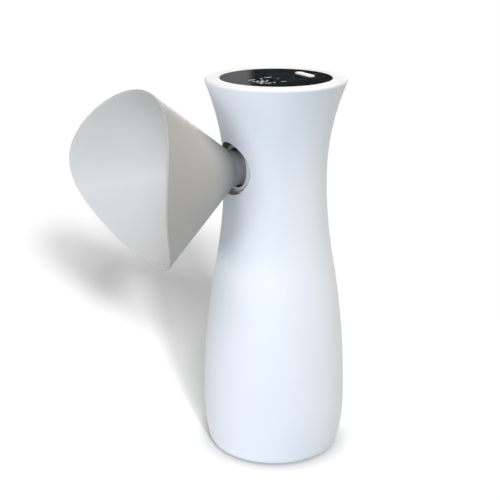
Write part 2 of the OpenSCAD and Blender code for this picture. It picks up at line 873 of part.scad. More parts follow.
module charge_screws() color([0.7, 0.7, 0.72]) {
    for (x = charge_post_x) translate([x, 0, charge_top]) screw(charge_screw_len);
}

module main_board() color([0.1, 0.35, 0.2]) {
    difference() {
        translate([0, 0, board_z]) cylinder(r = board_r, h = board_t);
        stack_places() translate([0, 0, board_top]) screw_hole(board_t + cut);
    }
}

module board_chips() color([0.1, 0.1, 0.11]) {
    for (c = chip_shares)
        translate([c[0] * board_r, c[1] * board_r, board_top + chip_t / 2])
            cube([c[2] * board_r, c[2] * board_r, chip_t], center = true);
}

module ribbon_connectors() color([0.85, 0.83, 0.76]) {
    for (side = [-1, 1])
        translate([rotor_x, side * (pad_y + eye_board_t + flex_t / 2), board_z - chip_t / 2])
            cube([1.5 * ribbon_w, ribbon_w / 2, chip_t], center = true);
}

module tact_switch() color([0.14, 0.14, 0.15]) {
    difference() {
        translate([key_x - switch_size / 2, -switch_size / 2, board_top])
            cube([switch_size, switch_size, switch_h]);
        translate([key_x, 0, board_top + switch_h - plunger_sunk - key_travel - slip])
            cylinder(r = plunger_r + slip, h = switch_h);
    }
}

module switch_plunger() color([0.2, 0.2, 0.2]) {
    translate([key_x, 0, board_top + switch_h - plunger_sunk])
        cylinder(r = plunger_r, h = plunger_h + plunger_sunk);
}

// Plate on four feet, with slots for the key's stem and the display's ribbon
module display_carrier() color([0.2, 0.2, 0.22]) {
    difference() {
        union() {
            translate([0, 0, carrier_top - carrier_t]) cylinder(r = carrier_r, h = carrier_t);
            stack_places() translate([0, 0, board_top])
                cylinder(r = stack_boss_r - screw_fit, h = board_gap + carrier_t);
        }
        stack_places() translate([0, 0, carrier_top]) screw_hole(carrier_t + board_gap + cut);
        translate([key_x, 0, carrier_top - carrier_t - cut])
            linear_extrude(carrier_t + 2 * cut)
                oblong(key_stem_len + 2 * joint_gap, key_stem_w + 2 * joint_gap);
        translate([ribbon_x - flex_t, -ribbon_len / 2 - joint_gap, carrier_top - carrier_t - cut])
            cube([3 * flex_t, ribbon_len + 2 * joint_gap, carrier_t + 2 * cut]);
    }
}

module display_module() color([0.05, 0.05, 0.06]) {
    translate([module_x - module_len / 2, -module_w / 2, carrier_top])
        cube([module_len, module_w, module_t]);
}

module display_ribbon() color([0.75, 0.5, 0.2]) {
    translate([ribbon_x, -ribbon_len / 2, board_top]) cube([flex_t, ribbon_len, carrier_top - board_top]);
}

module board_screws() color([0.7, 0.7, 0.72]) {
    stack_places() translate([0, 0, carrier_top]) screw(stack_screw_len);
}

// Key through the glass, its lip under the glass and its stem down to the switch
module power_button() color([0.97, 0.97, 0.97]) {
    lip_top = glass_z - slip;
    translate([key_x, 0, 0]) {
        translate([0, 0, lip_top]) linear_extrude(height + key_proud - lip_top) oblong(key_len, key_w);
        translate([0, 0, lip_top - key_lip_t])
            linear_extrude(key_lip_t) oblong(key_len + 2 * key_lip, key_w + 2 * key_lip);
        translate([0, 0, plunger_top])
            linear_extrude(lip_top - key_lip_t - plunger_top) oblong(key_stem_len, key_stem_w);
    }
}

module lens_gasket() color([0.05, 0.05, 0.05]) {
    translate([0, 0, seat_z]) tube(glass_d / 2, stack_r, gasket_t);
}

module display_lens() color([0.05, 0.06, 0.08]) {
    difference() {
        rotate_extrude() polygon([
            [0, glass_z], [glass_d / 2, glass_z], [glass_d / 2, glass_top - glass_edge],
            [glass_d / 2 - glass_edge, glass_top], [0, glass_top]
        ]);
        translate([key_x, 0, glass_z - cut])
            linear_extrude(glass_t + 2 * cut) oblong(key_len + 2 * key_gap, key_w + 2 * key_gap);
    }
}

body_shell();
base_cap();
base_screws();
foot_pad();
port_collar();
port_seal();
mouthpiece();
exhaust_grille();
flow_tube();
front_swirler();
rear_swirler();
front_bearing();
rear_bearing();
rotor_vane();
rotor_axle();
emitter_board();
receiver_board();
ir_emitters();
ir_receivers();
sensor_ribbons();
duct_cradle();
duct_clamps();
clamp_screws();
cradle_screws();
battery_cell();
battery_cradle();
positive_contact();
negative_contact();
battery_leads();
charge_leads();
holder_screws();
charge_board();
usb_socket();
charge_screws();
main_board();
board_chips();
ribbon_connectors();
tact_switch();
switch_plunger();
display_carrier();
display_module();
display_ribbon();
board_screws();
power_button();
lens_gasket();
display_lens();
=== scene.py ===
import math
import bmesh
import bpy
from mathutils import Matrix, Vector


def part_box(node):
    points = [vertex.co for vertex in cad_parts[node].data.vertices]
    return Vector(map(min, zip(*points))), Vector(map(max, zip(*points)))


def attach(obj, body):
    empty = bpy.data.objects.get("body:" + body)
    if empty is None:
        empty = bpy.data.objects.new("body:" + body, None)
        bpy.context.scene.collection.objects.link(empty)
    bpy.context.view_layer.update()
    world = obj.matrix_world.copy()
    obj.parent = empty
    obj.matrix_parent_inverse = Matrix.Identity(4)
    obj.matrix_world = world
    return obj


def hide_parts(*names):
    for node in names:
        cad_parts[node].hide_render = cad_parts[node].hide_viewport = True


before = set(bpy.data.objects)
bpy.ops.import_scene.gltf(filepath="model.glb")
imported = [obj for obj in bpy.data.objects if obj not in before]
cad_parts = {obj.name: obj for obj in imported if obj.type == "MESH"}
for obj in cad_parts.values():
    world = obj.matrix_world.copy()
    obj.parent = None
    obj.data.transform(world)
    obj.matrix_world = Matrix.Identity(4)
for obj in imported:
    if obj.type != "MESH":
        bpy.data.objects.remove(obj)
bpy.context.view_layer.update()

# Camera
# It stands a little above the rim, with the mouthpiece turned to the front left. Distance,
# height and focal length were found from the outlines of the body, the glass and the cone.
VIEW_TURN = math.radians(31.67)
VIEW_DISTANCE = 0.455
VIEW_HEIGHT = 0.2392
VIEW_PITCH = math.radians(18.17)
VIEW_YAW = math.radians(-1.35)
FOCAL_PX = 1104
PICTURE_PX = 500
SENSOR_MM = 36
NEAR_CLIP = 0.01


def bearing(turn_deg, rise_deg, distance, height):
    """A place seen from the upright axis, by its bearing from the camera's side."""
    turn = math.radians(turn_deg) - VIEW_TURN
    rise = math.radians(rise_deg)
    return (
        distance * math.cos(rise) * math.sin(turn),
        -distance * math.cos(rise) * math.cos(turn),
        distance * math.sin(rise) + height,
    )


camera_data = bpy.data.cameras.new("camera")
camera_data.sensor_width = SENSOR_MM
camera_data.lens = FOCAL_PX / PICTURE_PX * SENSOR_MM
camera_data.clip_start = NEAR_CLIP
camera = bpy.data.objects.new("camera", camera_data)
camera.location = bearing(0, 0, VIEW_DISTANCE, VIEW_HEIGHT)
camera.rotation_euler = (math.pi / 2 - VIEW_PITCH, 0, -VIEW_YAW - VIEW_TURN)
bpy.context.scene.collection.objects.link(camera)
bpy.context.scene.camera = camera
bpy.context.scene.view_settings.view_transform = "Standard"


# Floor and surroundings
# A wide white sweep that the object stands on. To the camera and in reflections it is plain
# white, as the air above it is; it still takes the object's shadow, and a painted contact shade
# makes it darker close to its foot.
def both_ways(operation):
    """An operator of Wire, and the same with its two sides the other way round."""
    return (
        lambda wire, other: wire.sum(operation, wire, other),
        lambda wire, other: wire.sum(operation, other, wire),
    )


class Wire:
    """One output among a material's nodes. Sums on it add Math nodes; node() adds any other."""

    def __init__(self, tree, socket=None):
        self.tree = tree
        self.socket = socket

    def plug(self, made, sockets):
        for name, value in sockets.items():
            if isinstance(value, Wire):
                self.tree.links.new(value.socket, made.inputs[name])
            else:
                made.inputs[name].default_value = value

    def node(self, kind, settings=None, sockets=None, out=0):
        made = self.tree.nodes.new("ShaderNode" + kind)
        for name, value in (settings or {}).items():
            setattr(made, name, value)
        self.plug(made, sockets or {})
        return Wire(self.tree, made.outputs[out])

    def sum(self, operation, *terms):
        return self.node("Math", {"operation": operation}, dict(enumerate(terms)))

    __add__, __radd__ = both_ways("ADD")
    __sub__, __rsub__ = both_ways("SUBTRACT")
    __mul__, __rmul__ = both_ways("MULTIPLY")
    __gt__ = both_ways("GREATER_THAN")[0]
    __lt__ = both_ways("LESS_THAN")[0]

    def mix(self, first, second):
        """A colour between two, by this value."""
        return self.node("Mix", {"data_type": "RGBA"}, {0: self, 6: first, 7: second}, out=2)

    def axis(self, letter):
        """One coordinate of a place."""
        return self.node("SeparateXYZ", None, {"Vector": self}, out=letter)

    def fraction(self):
        """What is left of a value above its whole number."""
        return self.sum("FRACT", self)

    def step(self, low, high):
        """A soft step from 0 to 1 between two values."""
        return self.node("MapRange", {"interpolation_type": "SMOOTHSTEP"}, {
            "Value": self, "From Min": low, "From Max": high})


def flat_sheet(name, corners):
    mesh = bpy.data.meshes.new(name)
    mesh.from_pydata(corners, [], [tuple(range(len(corners)))])
    made = bpy.data.objects.new(name, mesh)
    bpy.context.scene.collection.objects.link(made)
    return made


def level_square(name, half, z):
    return flat_sheet(name, [(-half, -half, z), (half, -half, z), (half, half, z), (-half, half, z)])


def shown_by(start):
    """1 for what the camera, a reflection or a clear piece shows, 0 for light on its way."""
    rays = [start.node("LightPath", out=ray) for ray in
            ("Is Camera Ray", "Is Glossy Ray", "Is Transmission Ray")]
    return start.sum("MAXIMUM", start.sum("MAXIMUM", rays[0], rays[1]), rays[2])


WHITE = (1, 1, 1, 1)
BLACK = (0, 0, 0, 1)
FLOOR_HALF = 4
FLOOR_TONE = (0.7, 0.7, 0.7, 1)
FLOOR_LIFT = 0.42
CONTACT_REACH = 0.011
CONTACT_SAMPLES = 16
CONTACT_TONE = (0.25, 0.25, 0.25, 1)
SKY_TONE = (0.03, 0.03, 0.03, 1)
floor = level_square("floor", FLOOR_HALF, 0)
floor_finish = bpy.data.materials.new("floor_sweep")
floor_finish.use_nodes = True
start = Wire(floor_finish.node_tree)
shown = shown_by(start)
# Painted contact shade: an occlusion node darkens the floor's colour and glow close to the object.
openness = start.node(
    "AmbientOcclusion", {"samples": CONTACT_SAMPLES}, {"Distance": CONTACT_REACH}, out="AO")
contact = openness.mix(CONTACT_TONE, WHITE)
start.plug(floor_finish.node_tree.nodes["Principled BSDF"], {
    "Base Color": shown.mix(FLOOR_TONE, contact),
    "Roughness": 1,
    "Specular IOR Level": 0,
    "Emission Color": shown.mix(BLACK, contact),
    "Emission Strength": FLOOR_LIFT,
})
floor.data.materials.append(floor_finish)

world = bpy.data.worlds.new("surroundings")
bpy.context.scene.world = world
world.use_nodes = True
start = Wire(world.node_tree)
start.plug(world.node_tree.nodes["Background"], {"Color": shown_by(start).mix(SKY_TONE, WHITE)})


# Lamps
# Wide soft lamps: three at the left, a cool one at the front, a warm one high at the right, one
# overhead and one behind. They leave the floor to a row of lamps of its own, which throw the
# shadow; each gives the floor a share of its light.
def soft_lamp(lights, name, strength, turn_deg, rise_deg, spread_deg, colour=(1, 1, 1)):
    """A far lamp aimed at the body; strength 1 shows a white face turned to it as white."""
    data = bpy.data.lights.new(name, "SUN")
    data.energy = strength * math.pi
    data.color = colour
    data.angle = math.radians(spread_deg)
    made = bpy.data.objects.new(name, data)
    made.location = bearing(turn_deg, rise_deg, LAMP_DISTANCE, AIM_HEIGHT)
    made.rotation_euler = (math.radians(90 - rise_deg), 0, math.radians(turn_deg) - VIEW_TURN)
    made.light_linking.receiver_collection = lights
    bpy.context.scene.collection.objects.link(made)


AIM_HEIGHT = 0.08
LAMP_DISTANCE = 1.5
# Name, strength, then bearing, rise and spread in degrees, and colour
OBJECT_LAMPS = (
    ("left_far", 0.19, -60, 5, 20, (1.0, 0.88, 0.75)),
    ("left", 0.22, -28, 6, 12, (0.80, 0.94, 1.0)),
    ("left_high", 0.24, -20, 45, 20, (1.0, 0.86, 0.92)),
    ("front", 0.39, 0, 10, 30, (0.83, 0.94, 1.0)),
    ("right_high", 0.50, 92, 45, 30, (1.0, 0.93, 0.78)),
    ("ceiling", 0.33, 0, 86, 40, (1.0, 1.0, 0.98)),
    ("back", 0.35, 182, 12, 30, (1.0, 0.99, 0.98)),
)
# Bearing, rise and spread in degrees, and the share of the floor's light
SHADOW_LAMPS = ((15.5, 24, 5, 0.28), (12, 26.5, 5, 0.10), (9, 29.5, 5, 0.10), (5, 31, 5, 0.08))
floor_only = bpy.data.collections.new("floor_only")
floor_only.objects.link(floor)
object_only = bpy.data.collections.new("object_only")
object_only.objects.link(floor)
object_only.collection_objects[0].light_linking.link_state = "EXCLUDE"
for lamp in OBJECT_LAMPS:
    soft_lamp(object_only, *lamp)
for count, (turn_deg, rise_deg, spread_deg, share) in enumerate(SHADOW_LAMPS, 1):
    strength = share / math.sin(math.radians(rise_deg))
    soft_lamp(floor_only, f"shadow_{count}", strength, turn_deg, rise_deg, spread_deg)


# Cards for the glass
# A dark ceiling and a grey upright card behind the object. Only reflections show them: they
# keep the display's glass black, with a paler patch at its left that fades out.
def reflected_only(card, name, tone):
    """Keeps a card out of sight but in reflections. Away from its left it fades to the dark tone."""
    for sight in ("camera", "diffuse", "transmission", "shadow"):
        setattr(card, "visible_" + sight, False)
    cloth = bpy.data.materials.new(name)
    cloth.use_nodes = True
    start = Wire(cloth.node_tree)
    place = start.node("TexCoord", out="Object")
    across = place.axis("Y") * math.sin(VIEW_TURN) - place.axis("X") * math.cos(VIEW_TURN)
    start.plug(cloth.node_tree.nodes["Principled BSDF"], {
        "Base Color": BLACK, "Roughness": 1, "Specular IOR Level": 0,
        "Emission Color": across.step(*FADE).mix(DARK_TONE, tone),
        "Emission Strength": 1,
    })
    card.data.materials.append(cloth)


CARD_DISTANCE = 1.0
CARD_TURNS = (181.5, 190)
CARD_TONE = (0.27, 0.275, 0.28, 1)
CARD_LOW = 0.2
CARD_HIGH = 0.48
FADE = (0.027, 0.040)
DARK_HALF = 2.6
DARK_HEIGHT = 0.5
DARK_TONE = (0.017, 0.023, 0.027, 1)
reflected_only(level_square("dark_ceiling", DARK_HALF, DARK_HEIGHT), "dark_cloth", DARK_TONE)
left_low, right_low = (bearing(turn, 0, CARD_DISTANCE, CARD_LOW) for turn in CARD_TURNS)
left_high, right_high = (bearing(turn, 0, CARD_DISTANCE, CARD_HIGH) for turn in CARD_TURNS)
card = flat_sheet("grey_card", [left_low, right_low, right_high, left_high])
reflected_only(card, "grey_card", CARD_TONE)


# Body shell
# A one-piece moulded tube with a waist, painted satin white outside and bare brown-grey plastic
# inside. Its wall is turned, with holes for the port, the outlet and the charging socket.
shell_low, shell_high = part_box("body_shell")
cap_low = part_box("base_cap")[0]
collar_low, collar_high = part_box("port_collar")
grille_low, grille_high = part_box("exhaust_grille")
usb_low, usb_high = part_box("usb_socket")
glass_low, glass_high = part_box("display_lens")
gasket_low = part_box("lens_gasket")[0]
HEIGHT = shell_high.z
FOOT_PLANE = shell_low.z
BELLY_R = shell_high.x
BELLY_Z = 0.022
WAIST_R = 0.02185
WAIST_Z = 0.1245
MOUTH_R = 0.0302
BELLY_SHARE = 0.635
HEEL_ARC = 0.080
WALL = 0.002
FOOT_ROUND = 0.004
RIM_ROUND = 0.0011
FLARE_ARC = ((MOUTH_R - WAIST_R) ** 2 + (HEIGHT - WAIST_Z) ** 2) / (2 * (MOUTH_R - WAIST_R))
ARC_SUM = ((BELLY_R - WAIST_R) ** 2 + (WAIST_Z - BELLY_Z) ** 2) / (2 * (BELLY_R - WAIST_R))
BELLY_ARC = ARC_SUM * BELLY_SHARE
UNDER_ARC = ARC_SUM - BELLY_ARC
JOIN_SINE = (WAIST_Z - BELLY_Z) / ARC_SUM


def skin(z, depth=0):
    """Radius of the body at a height, at a depth under its skin."""
    if z > WAIST_Z:
        return WAIST_R + FLARE_ARC - math.sqrt((FLARE_ARC + depth) ** 2 - (z - WAIST_Z) ** 2)
    if z > BELLY_Z + (BELLY_ARC - depth) * JOIN_SINE:
        return WAIST_R + UNDER_ARC - math.sqrt((UNDER_ARC + depth) ** 2 - (z - WAIST_Z) ** 2)
    arc = BELLY_ARC if z > BELLY_Z else HEEL_ARC
    return BELLY_R - arc + math.sqrt((arc - depth) ** 2 - (z - BELLY_Z) ** 2)


def arc_points(centre, radius, start_deg, end_deg, steps):
    """Points of a round corner, as (radius, height) pairs."""
    turns = [math.radians(start_deg + (end_deg - start_deg) * i / steps) for i in range(steps + 1)]
    return [(centre[0] + radius * math.cos(a), centre[1] + radius * math.sin(a)) for a in turns]


def between(low, high, steps):
    """Even steps between two values, without the two."""
    return [low + (high - low) * i / steps for i in range(1, steps)]


class Skin:
    """Points and faces of one mesh as they are added."""

    def __init__(self):
        self.points = []
        self.faces = []

    def ring(self, places):
        first = len(self.points)
        self.points.extend(places)
        return list(range(first, len(self.points)))

    def bridge(self, one, other):
        for i in range(len(one)):
            j = (i + 1) % len(one)
            self.faces.append((one[i], one[j], other[j], other[i]))

    def grow(self, last, places):
        """Adds a ring, joined to the last one."""
        made = self.ring(places)
        self.bridge(last, made)
        return made

    def tube_of(self, rings, capped=True):
        """A run of rings joined one to the next, with a face on each end or joined round."""
        made = [self.ring(places) for places in rings]
        for one, other in zip(made, made[1:]):
            self.bridge(one, other)
        if capped:
            self.faces.append(tuple(reversed(made[0])))
            self.faces.append(tuple(made[-1]))
        else:
            self.bridge(made[-1], made[0])

    def piece(self, name, material, sharp_deg=32):
        mesh = bpy.data.meshes.new(name)
        mesh.from_pydata(self.points, [], self.faces)
        mesh.validate()
        form = bmesh.new()
        form.from_mesh(mesh)
        bmesh.ops.recalc_face_normals(form, faces=form.faces)
        form.to_mesh(mesh)
        form.free()
        mesh.shade_smooth()
        mesh.set_sharp_from_angle(angle=math.radians(sharp_deg))
        mesh.materials.append(material)
        made = bpy.data.objects.new(name, mesh)
        bpy.context.scene.collection.objects.link(made)
        return made


def bearings_round(count):
    """Even bearings all the way round."""
    return [2 * math.pi * c / count for c in range(count)]


def turned_ring(radius, z):
    return [(radius * math.cos(turn), radius * math.sin(turn), z) for turn in bearings_round(COLUMNS)]


COLUMNS = 160
SKIN_ROWS = 132
PATCH_RINGS = 9
PATCH_EASE = 1.4
EDGE_STEPS = 5


def skin_wall(form, depth, low, high, holes):
    """The wall's outer or inner side between two heights, with a patch of rings round each hole.
    Gives the lowest ring, the highest ring and each hole's edge."""
    heights = [low, *between(low, high, SKIN_ROWS), high]
    rows = [form.ring(turned_ring(skin(z, depth), z)) for z in heights]
    cut_out = set()
    edges = []
    for hole in holes:
        middle = COLUMNS // 2 if hole["side"] < 0 else 0
        reach = hole["columns"]
        bottom = max(i for i, z in enumerate(heights) if z <= hole["z"] - hole["half"])
        top = min(i for i, z in enumerate(heights) if z >= hole["z"] + hole["half"])
        for r in range(bottom, top):
            cut_out.update((r, (middle + c) % COLUMNS) for c in range(-reach, reach))
        around = [(bottom, c) for c in range(-reach, reach)]
        around += [(r, reach) for r in range(bottom, top)]
        around += [(top, c) for c in range(reach, -reach, -1)]
        around += [(r, -reach) for r in range(top, bottom, -1)]
        border = [rows[r][(middle + c) % COLUMNS] for r, c in around]
        edges.append(hole_patch(form, depth, hole, border))
    for r in range(len(rows) - 1):
        for c in range(COLUMNS):
            if (r, c) not in cut_out:
                d = (c + 1) % COLUMNS
                form.faces.append((rows[r][c], rows[r][d], rows[r + 1][d], rows[r + 1][c]))
    return rows[0], rows[-1], edges


def on_skin(y, z, depth, side):
    return (side * math.sqrt(skin(z, depth) ** 2 - y ** 2), y, z)


def edge_at(hole, bearing, grow):
    """A place on a hole's outline grown by a rounding, as (y, z). Its ends are round, its long side
    level."""
    end = hole["width"] / 2 + grow
    run = (hole["length"] - hole["width"]) / 2
    across, up = abs(math.cos(bearing)), abs(math.sin(bearing))
    reach = run * across + math.sqrt(max(end ** 2 - (run * up) ** 2, 0))
    if across * end <= run * up:
        reach = end / up
    return reach * math.cos(bearing), hole["z"] + reach * math.sin(bearing)


def hole_patch(form, depth, hole, border):
    """Rings from the border of the gap in the grid in to the hole's edge, which is given back
    with the bearing of each of its points."""
    grow = hole["round"] if depth == 0 else hole["boss"]
    bearings = [math.atan2(form.points[p][2] - hole["z"], form.points[p][1]) for p in border]
    outer = border
    for step in range(PATCH_RINGS - 1, -1, -1):
        share = (step / PATCH_RINGS) ** PATCH_EASE
        places = []
        for point, bearing in zip(border, bearings):
            y, z = edge_at(hole, bearing, grow)
            y += (form.points[point][1] - y) * share
            z += (form.points[point][2] - z) * share
            places.append(on_skin(y, z, depth, hole["side"]))
        outer = form.grow(outer, places)
    return outer, bearings


def hole_wall(form, hole, outside, inside):
    """Rounding at the skin, the straight wall down to the boss's end and back to the inner side."""
    edge, bearings = outside
    side = hole["side"]
    corners = [on_skin(*edge_at(hole, bearing, 0), 0, side) for bearing in bearings]
    last = edge
    for step in range(1, EDGE_STEPS + 1):
        t = step / EDGE_STEPS
        places = []
        for start_point, corner in zip(edge, corners):
            begin = form.points[start_point]
            end = (corner[0] - side * hole["round"], corner[1], corner[2])
            places.append(tuple(
                (1 - t) ** 2 * a + 2 * t * (1 - t) * b + t ** 2 * c
                for a, b, c in zip(begin, corner, end)
            ))
        last = form.grow(last, places)
    if hole["boss"] > 0:
        seat_x = side * hole["seat"]
        for grow in (0, hole["boss"]):
            last = form.grow(last, [(seat_x, *edge_at(hole, bearing, grow)) for bearing in bearings])
    form.bridge(last, inside[0])


PORT_Z = (collar_low.z + collar_high.z) / 2
PORT_R = 0.0111
PORT_SEAT = 0.015238
USB_GAP = 0.00035
USB_Z = (usb_low.z + usb_high.z) / 2
OUTLET_R = grille_high.y + 0.0001
BASE_R = 0.0238
BASE_LIP_R = 0.0215
CAP_TOP = cap_low.z + 0.002
LIP_T = 0.002
SEAT_R = glass_high.y + 0.00015
WELL_R = SEAT_R - 0.0023
SEAT_T = 0.002
SEAT_ROUND = 0.00015
SEAT_STEPS = 4
RIM_STEPS = 12
FOOT_STEPS = 14
# A hole's patch reaches half above and below its middle and columns of the grid to each side. Its
# edge is rounded, and the wall inside it runs to the seat, where its boss ends.
port_hole = {
    "side": -1, "z": PORT_Z, "length": 2 * PORT_R, "width": 2 * PORT_R,
    "half": 0.0145, "columns": 20, "round": 0.00015, "boss": 0.0021, "seat": PORT_SEAT,
}
outlet_hole = {
    "side": 1, "z": PORT_Z, "length": 2 * OUTLET_R, "width": 2 * OUTLET_R,
    "half": 0.0135, "columns": 18, "round": 0.0003, "boss": 0.0030, "seat": grille_low.x,
}
usb_hole = {
    "side": 1, "z": USB_Z, "length": usb_high.y - usb_low.y + 2 * USB_GAP,
    "width": usb_high.z - usb_low.z + 2 * USB_GAP,
    "half": 0.0045, "columns": 6, "round": 0.0003, "boss": 0, "seat": 0,
}

foot_z = FOOT_PLANE + FOOT_ROUND
foot_r = BELLY_R - HEEL_ARC + math.sqrt((HEEL_ARC - FOOT_ROUND) ** 2 - (BELLY_Z - foot_z) ** 2)
foot_turn = math.degrees(math.atan2(BELLY_Z - foot_z, foot_r - BELLY_R + HEEL_ARC))
rim_z = HEIGHT - RIM_ROUND
rim_r = WAIST_R + FLARE_ARC - math.sqrt((FLARE_ARC + RIM_ROUND) ** 2 - (rim_z - WAIST_Z) ** 2)
rim_turn = math.degrees(math.atan2(rim_z - WAIST_Z, WAIST_R + FLARE_ARC - rim_r))

shell = Skin()
holes = [port_hole, outlet_hole, usb_hole]
skin_low = foot_z - FOOT_ROUND * math.sin(math.radians(foot_turn))
skin_high = rim_z - RIM_ROUND * math.sin(math.radians(rim_turn))
outer_low, outer_high, outer_edges = skin_wall(shell, 0, skin_low, skin_high, holes)
inner_low, inner_high, inner_edges = skin_wall(
    shell, WALL, CAP_TOP + LIP_T, gasket_low.z - SEAT_T, holes)
for hole, outside, inside in zip(holes, outer_edges, inner_edges):
    hole_wall(shell, hole, outside, inside)


def turned_rings(form, first, profile, last):
    """Rings of a (radius, height) profile about the upright axis, bridged from one to the next."""
    for radius, z in profile:
        first = form.grow(first, turned_ring(radius, z))
    form.bridge(first, last)


turned_rings(shell, outer_high, [
    *arc_points((rim_r, rim_z), RIM_ROUND, -rim_turn, 90, RIM_STEPS)[1:],
    *arc_points((SEAT_R + SEAT_ROUND, HEIGHT - SEAT_ROUND), SEAT_ROUND, 90, 180, SEAT_STEPS),
    (SEAT_R, gasket_low.z), (WELL_R, gasket_low.z), (WELL_R, gasket_low.z - SEAT_T),
], inner_high)
turned_rings(shell, inner_low, [
    (BASE_LIP_R, CAP_TOP + LIP_T), (BASE_LIP_R, CAP_TOP), (BASE_R, CAP_TOP),
    *arc_points((BASE_R + SEAT_ROUND, FOOT_PLANE + SEAT_ROUND), SEAT_ROUND, 180, 270, SEAT_STEPS),
    *arc_points((foot_r, foot_z), FOOT_ROUND, -90, -foot_turn, FOOT_STEPS)[:-1],
], outer_low)


def finish(name):
    """A new material, and the place on the object that its patterns follow."""
    material = bpy.data.materials.new(name)
    material.use_nodes = True
    return material, Wire(material.node_tree).node("TexCoord", out="Object")


def painted(material, sockets):
    """Gives a material's shader what its sockets get."""
    Wire(material.node_tree).plug(material.node_tree.nodes["Principled BSDF"], sockets)
    return material


def noise(place, scale, detail=2, along=None):
    """Cloudy variation about zero, from -0.5 to 0.5, drawn out where along is less than 1."""
    if along:
        place = place.node("Mapping", None, {"Vector": place, "Scale": along})
    return place.node("TexNoise", None, {"Vector": place, "Scale": scale, "Detail": detail}) - 0.5


def shade(colour, level):
    return (*(part * level for part in colour), 1)


def tones(cloud, colour, low, high):
    """A colour from a darker to a paler level of itself, by a variation about zero."""
    return (cloud + 0.5).mix(shade(colour, low), shade(colour, high))


def bump(height, strength, distance):
    return height.node("Bump", None, {"Strength": strength, "Distance": distance, "Height": height})


CLOUD_SCALE = 45


def moulded(name, colour, roughness, texture=2600, depth=0.00002, specular=0.5, uneven=0.014):
    """Moulded plastic: the tool's eroded texture as bump, and slightly uneven tone and gloss."""
    material, place = finish(name)
    cloud = noise(place, CLOUD_SCALE)
    pits = noise(place, texture, 3)
    return painted(material, {
        "Base Color": tones(cloud * 0.9, colour, 1 - uneven, 1 + uneven),
        "Roughness": roughness + cloud * 0.06 + pits * 0.10,
        "Specular IOR Level": specular,
        "Normal": bump(pits, 0.25, depth),
    })


def tinted(material, where, tint):
    """Multiplies a finish's colour by a tint, as far as where() says of a place, from 0 to 1."""
    shader = material.node_tree.nodes["Principled BSDF"]
    plain = Wire(material.node_tree, shader.inputs["Base Color"].links[0].from_socket)
    share = where(plain.node("TexCoord", out="Object"))
    product = {"data_type": "RGBA", "blend_type": "MULTIPLY"}
    result = plain.node("Mix", product, {0: share, 6: plain, 7: tint}, out=2)
    return painted(material, {"Base Color": result})


def above(low, high):
    """Says of a place how far it is above a height, with a soft start."""
    return lambda place: place.axis("Z").step(low, high)


def stands_for(piece, body, node):
    """Says which body a made piece rides on, and hides the node it stands for."""
    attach(piece, body)
    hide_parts(node)


BARE_BELOW = 0.150
BARE_DEPTH = 0.0003
# Painted light: the rim's flat top is painted lighter and warmer than the white below it.
RIM_LIGHT_FADE = (HEIGHT - 0.0009, HEIGHT - 0.0001)
RIM_PAINTED_LIGHT = (1.14, 1.11, 1.06, 1)
# Painted shade: above the port's middle the bare plastic inside is painted darker, most of all on the
# hole walls that face down.
HOLE_SHADE_FADE = (PORT_Z - 0.006, PORT_Z + 0.004)
HOLE_PAINTED_SHADE = (0.28, 0.29, 0.29, 1)
shell_white = moulded("shell_white", (0.806, 0.845, 0.905), 0.46, specular=0.4)
shell_bare = moulded("shell_bare", (0.52, 0.425, 0.36), 0.6, 1500)
# The white takes painted light on the rim's flat top.
housing = shell.piece("shell_moulding", tinted(shell_white, above(*RIM_LIGHT_FADE), RIM_PAINTED_LIGHT))
# The bare plastic takes painted shade above the port's middle.
housing.data.materials.append(tinted(shell_bare, above(*HOLE_SHADE_FADE), HOLE_PAINTED_SHADE))
for face in housing.data.polygons:
    x, y, z = face.center
    if CAP_TOP < z < BARE_BELOW and math.hypot(x, y) < skin(z) - BARE_DEPTH:
        face.material_index = 1
stands_for(housing, "housing", "body_shell")


# Base cap and foot pad
# A grey moulded disc screwed into the open bottom, with a disc of soft dark rubber stuck on it
# that the body stands on. Their corners are a little rounded.
FINE_EDGE = 0.00006
SMALL_EDGE = 0.00008
PLAIN_EDGE = 0.00012
ROUND_STEPS = 2
WELD_REACH = 0.000005
SHARP_ABOVE = math.radians(40)


def dress(node_name, material, edge=0.0):
    """Gives a node its finish, and rounds its corners by an edge without touching its mesh."""
    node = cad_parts[node_name]
    node.data.materials.clear()
    node.data.materials.append(material)
    if edge:
        weld = node.modifiers.new("weld", "WELD")
        weld.merge_threshold = WELD_REACH
        rounding = node.modifiers.new("rounded_corners", "BEVEL")
        rounding.width = edge
        rounding.segments = ROUND_STEPS
        rounding.limit_method = "ANGLE"
        rounding.angle_limit = SHARP_ABOVE
        rounding.harden_normals = True


def rubber(name, tone, texture=1500):
    """Soft dark rubber: dull, with a coarse grain and faint pale bloom."""
    material, place = finish(name)
    grain = noise(place, texture, 4)
    bloom = noise(place, 60, 3)
    return painted(material, {
        "Base Color": (bloom + 0.5).mix((tone, tone, tone, 1), shade((1.5, 1.5, 1.55), tone)),
        "Roughness": 0.72 + bloom * 0.15,
        "Specular IOR Level": 0.3,
        "Normal": bump(grain, 0.35, 0.00004),
    })


dress("base_cap", moulded("cap_grey", (0.50, 0.52, 0.54), 0.5), edge=0.00015)
dress("foot_pad", rubber("pad_rubber", 0.045), edge=0.0003)


# Port collar and its seal
# A light grey ring pushed into the hole at the waist. Its face has two raised rings round the
# bore, and a groove inside it holds a ring of black rubber that grips the neck.
BORE_R = 0.00795
MOUTH_GAP_R = 0.0082
MOUTH_GAP_DEPTH = 0.0026
COLLAR_R = PORT_R - 0.00015
COLLAR_FACE = -collar_low.x
COLLAR_BACK = -collar_high.x
FLANGE_R = collar_high.y
STEP_W = 0.00045
STEP_H = 0.0008
GROOVE_R = 0.00965
GROOVE_FROM = 0.01535
GROOVE_TO = 0.01745
COLLAR_EDGE = 0.00009
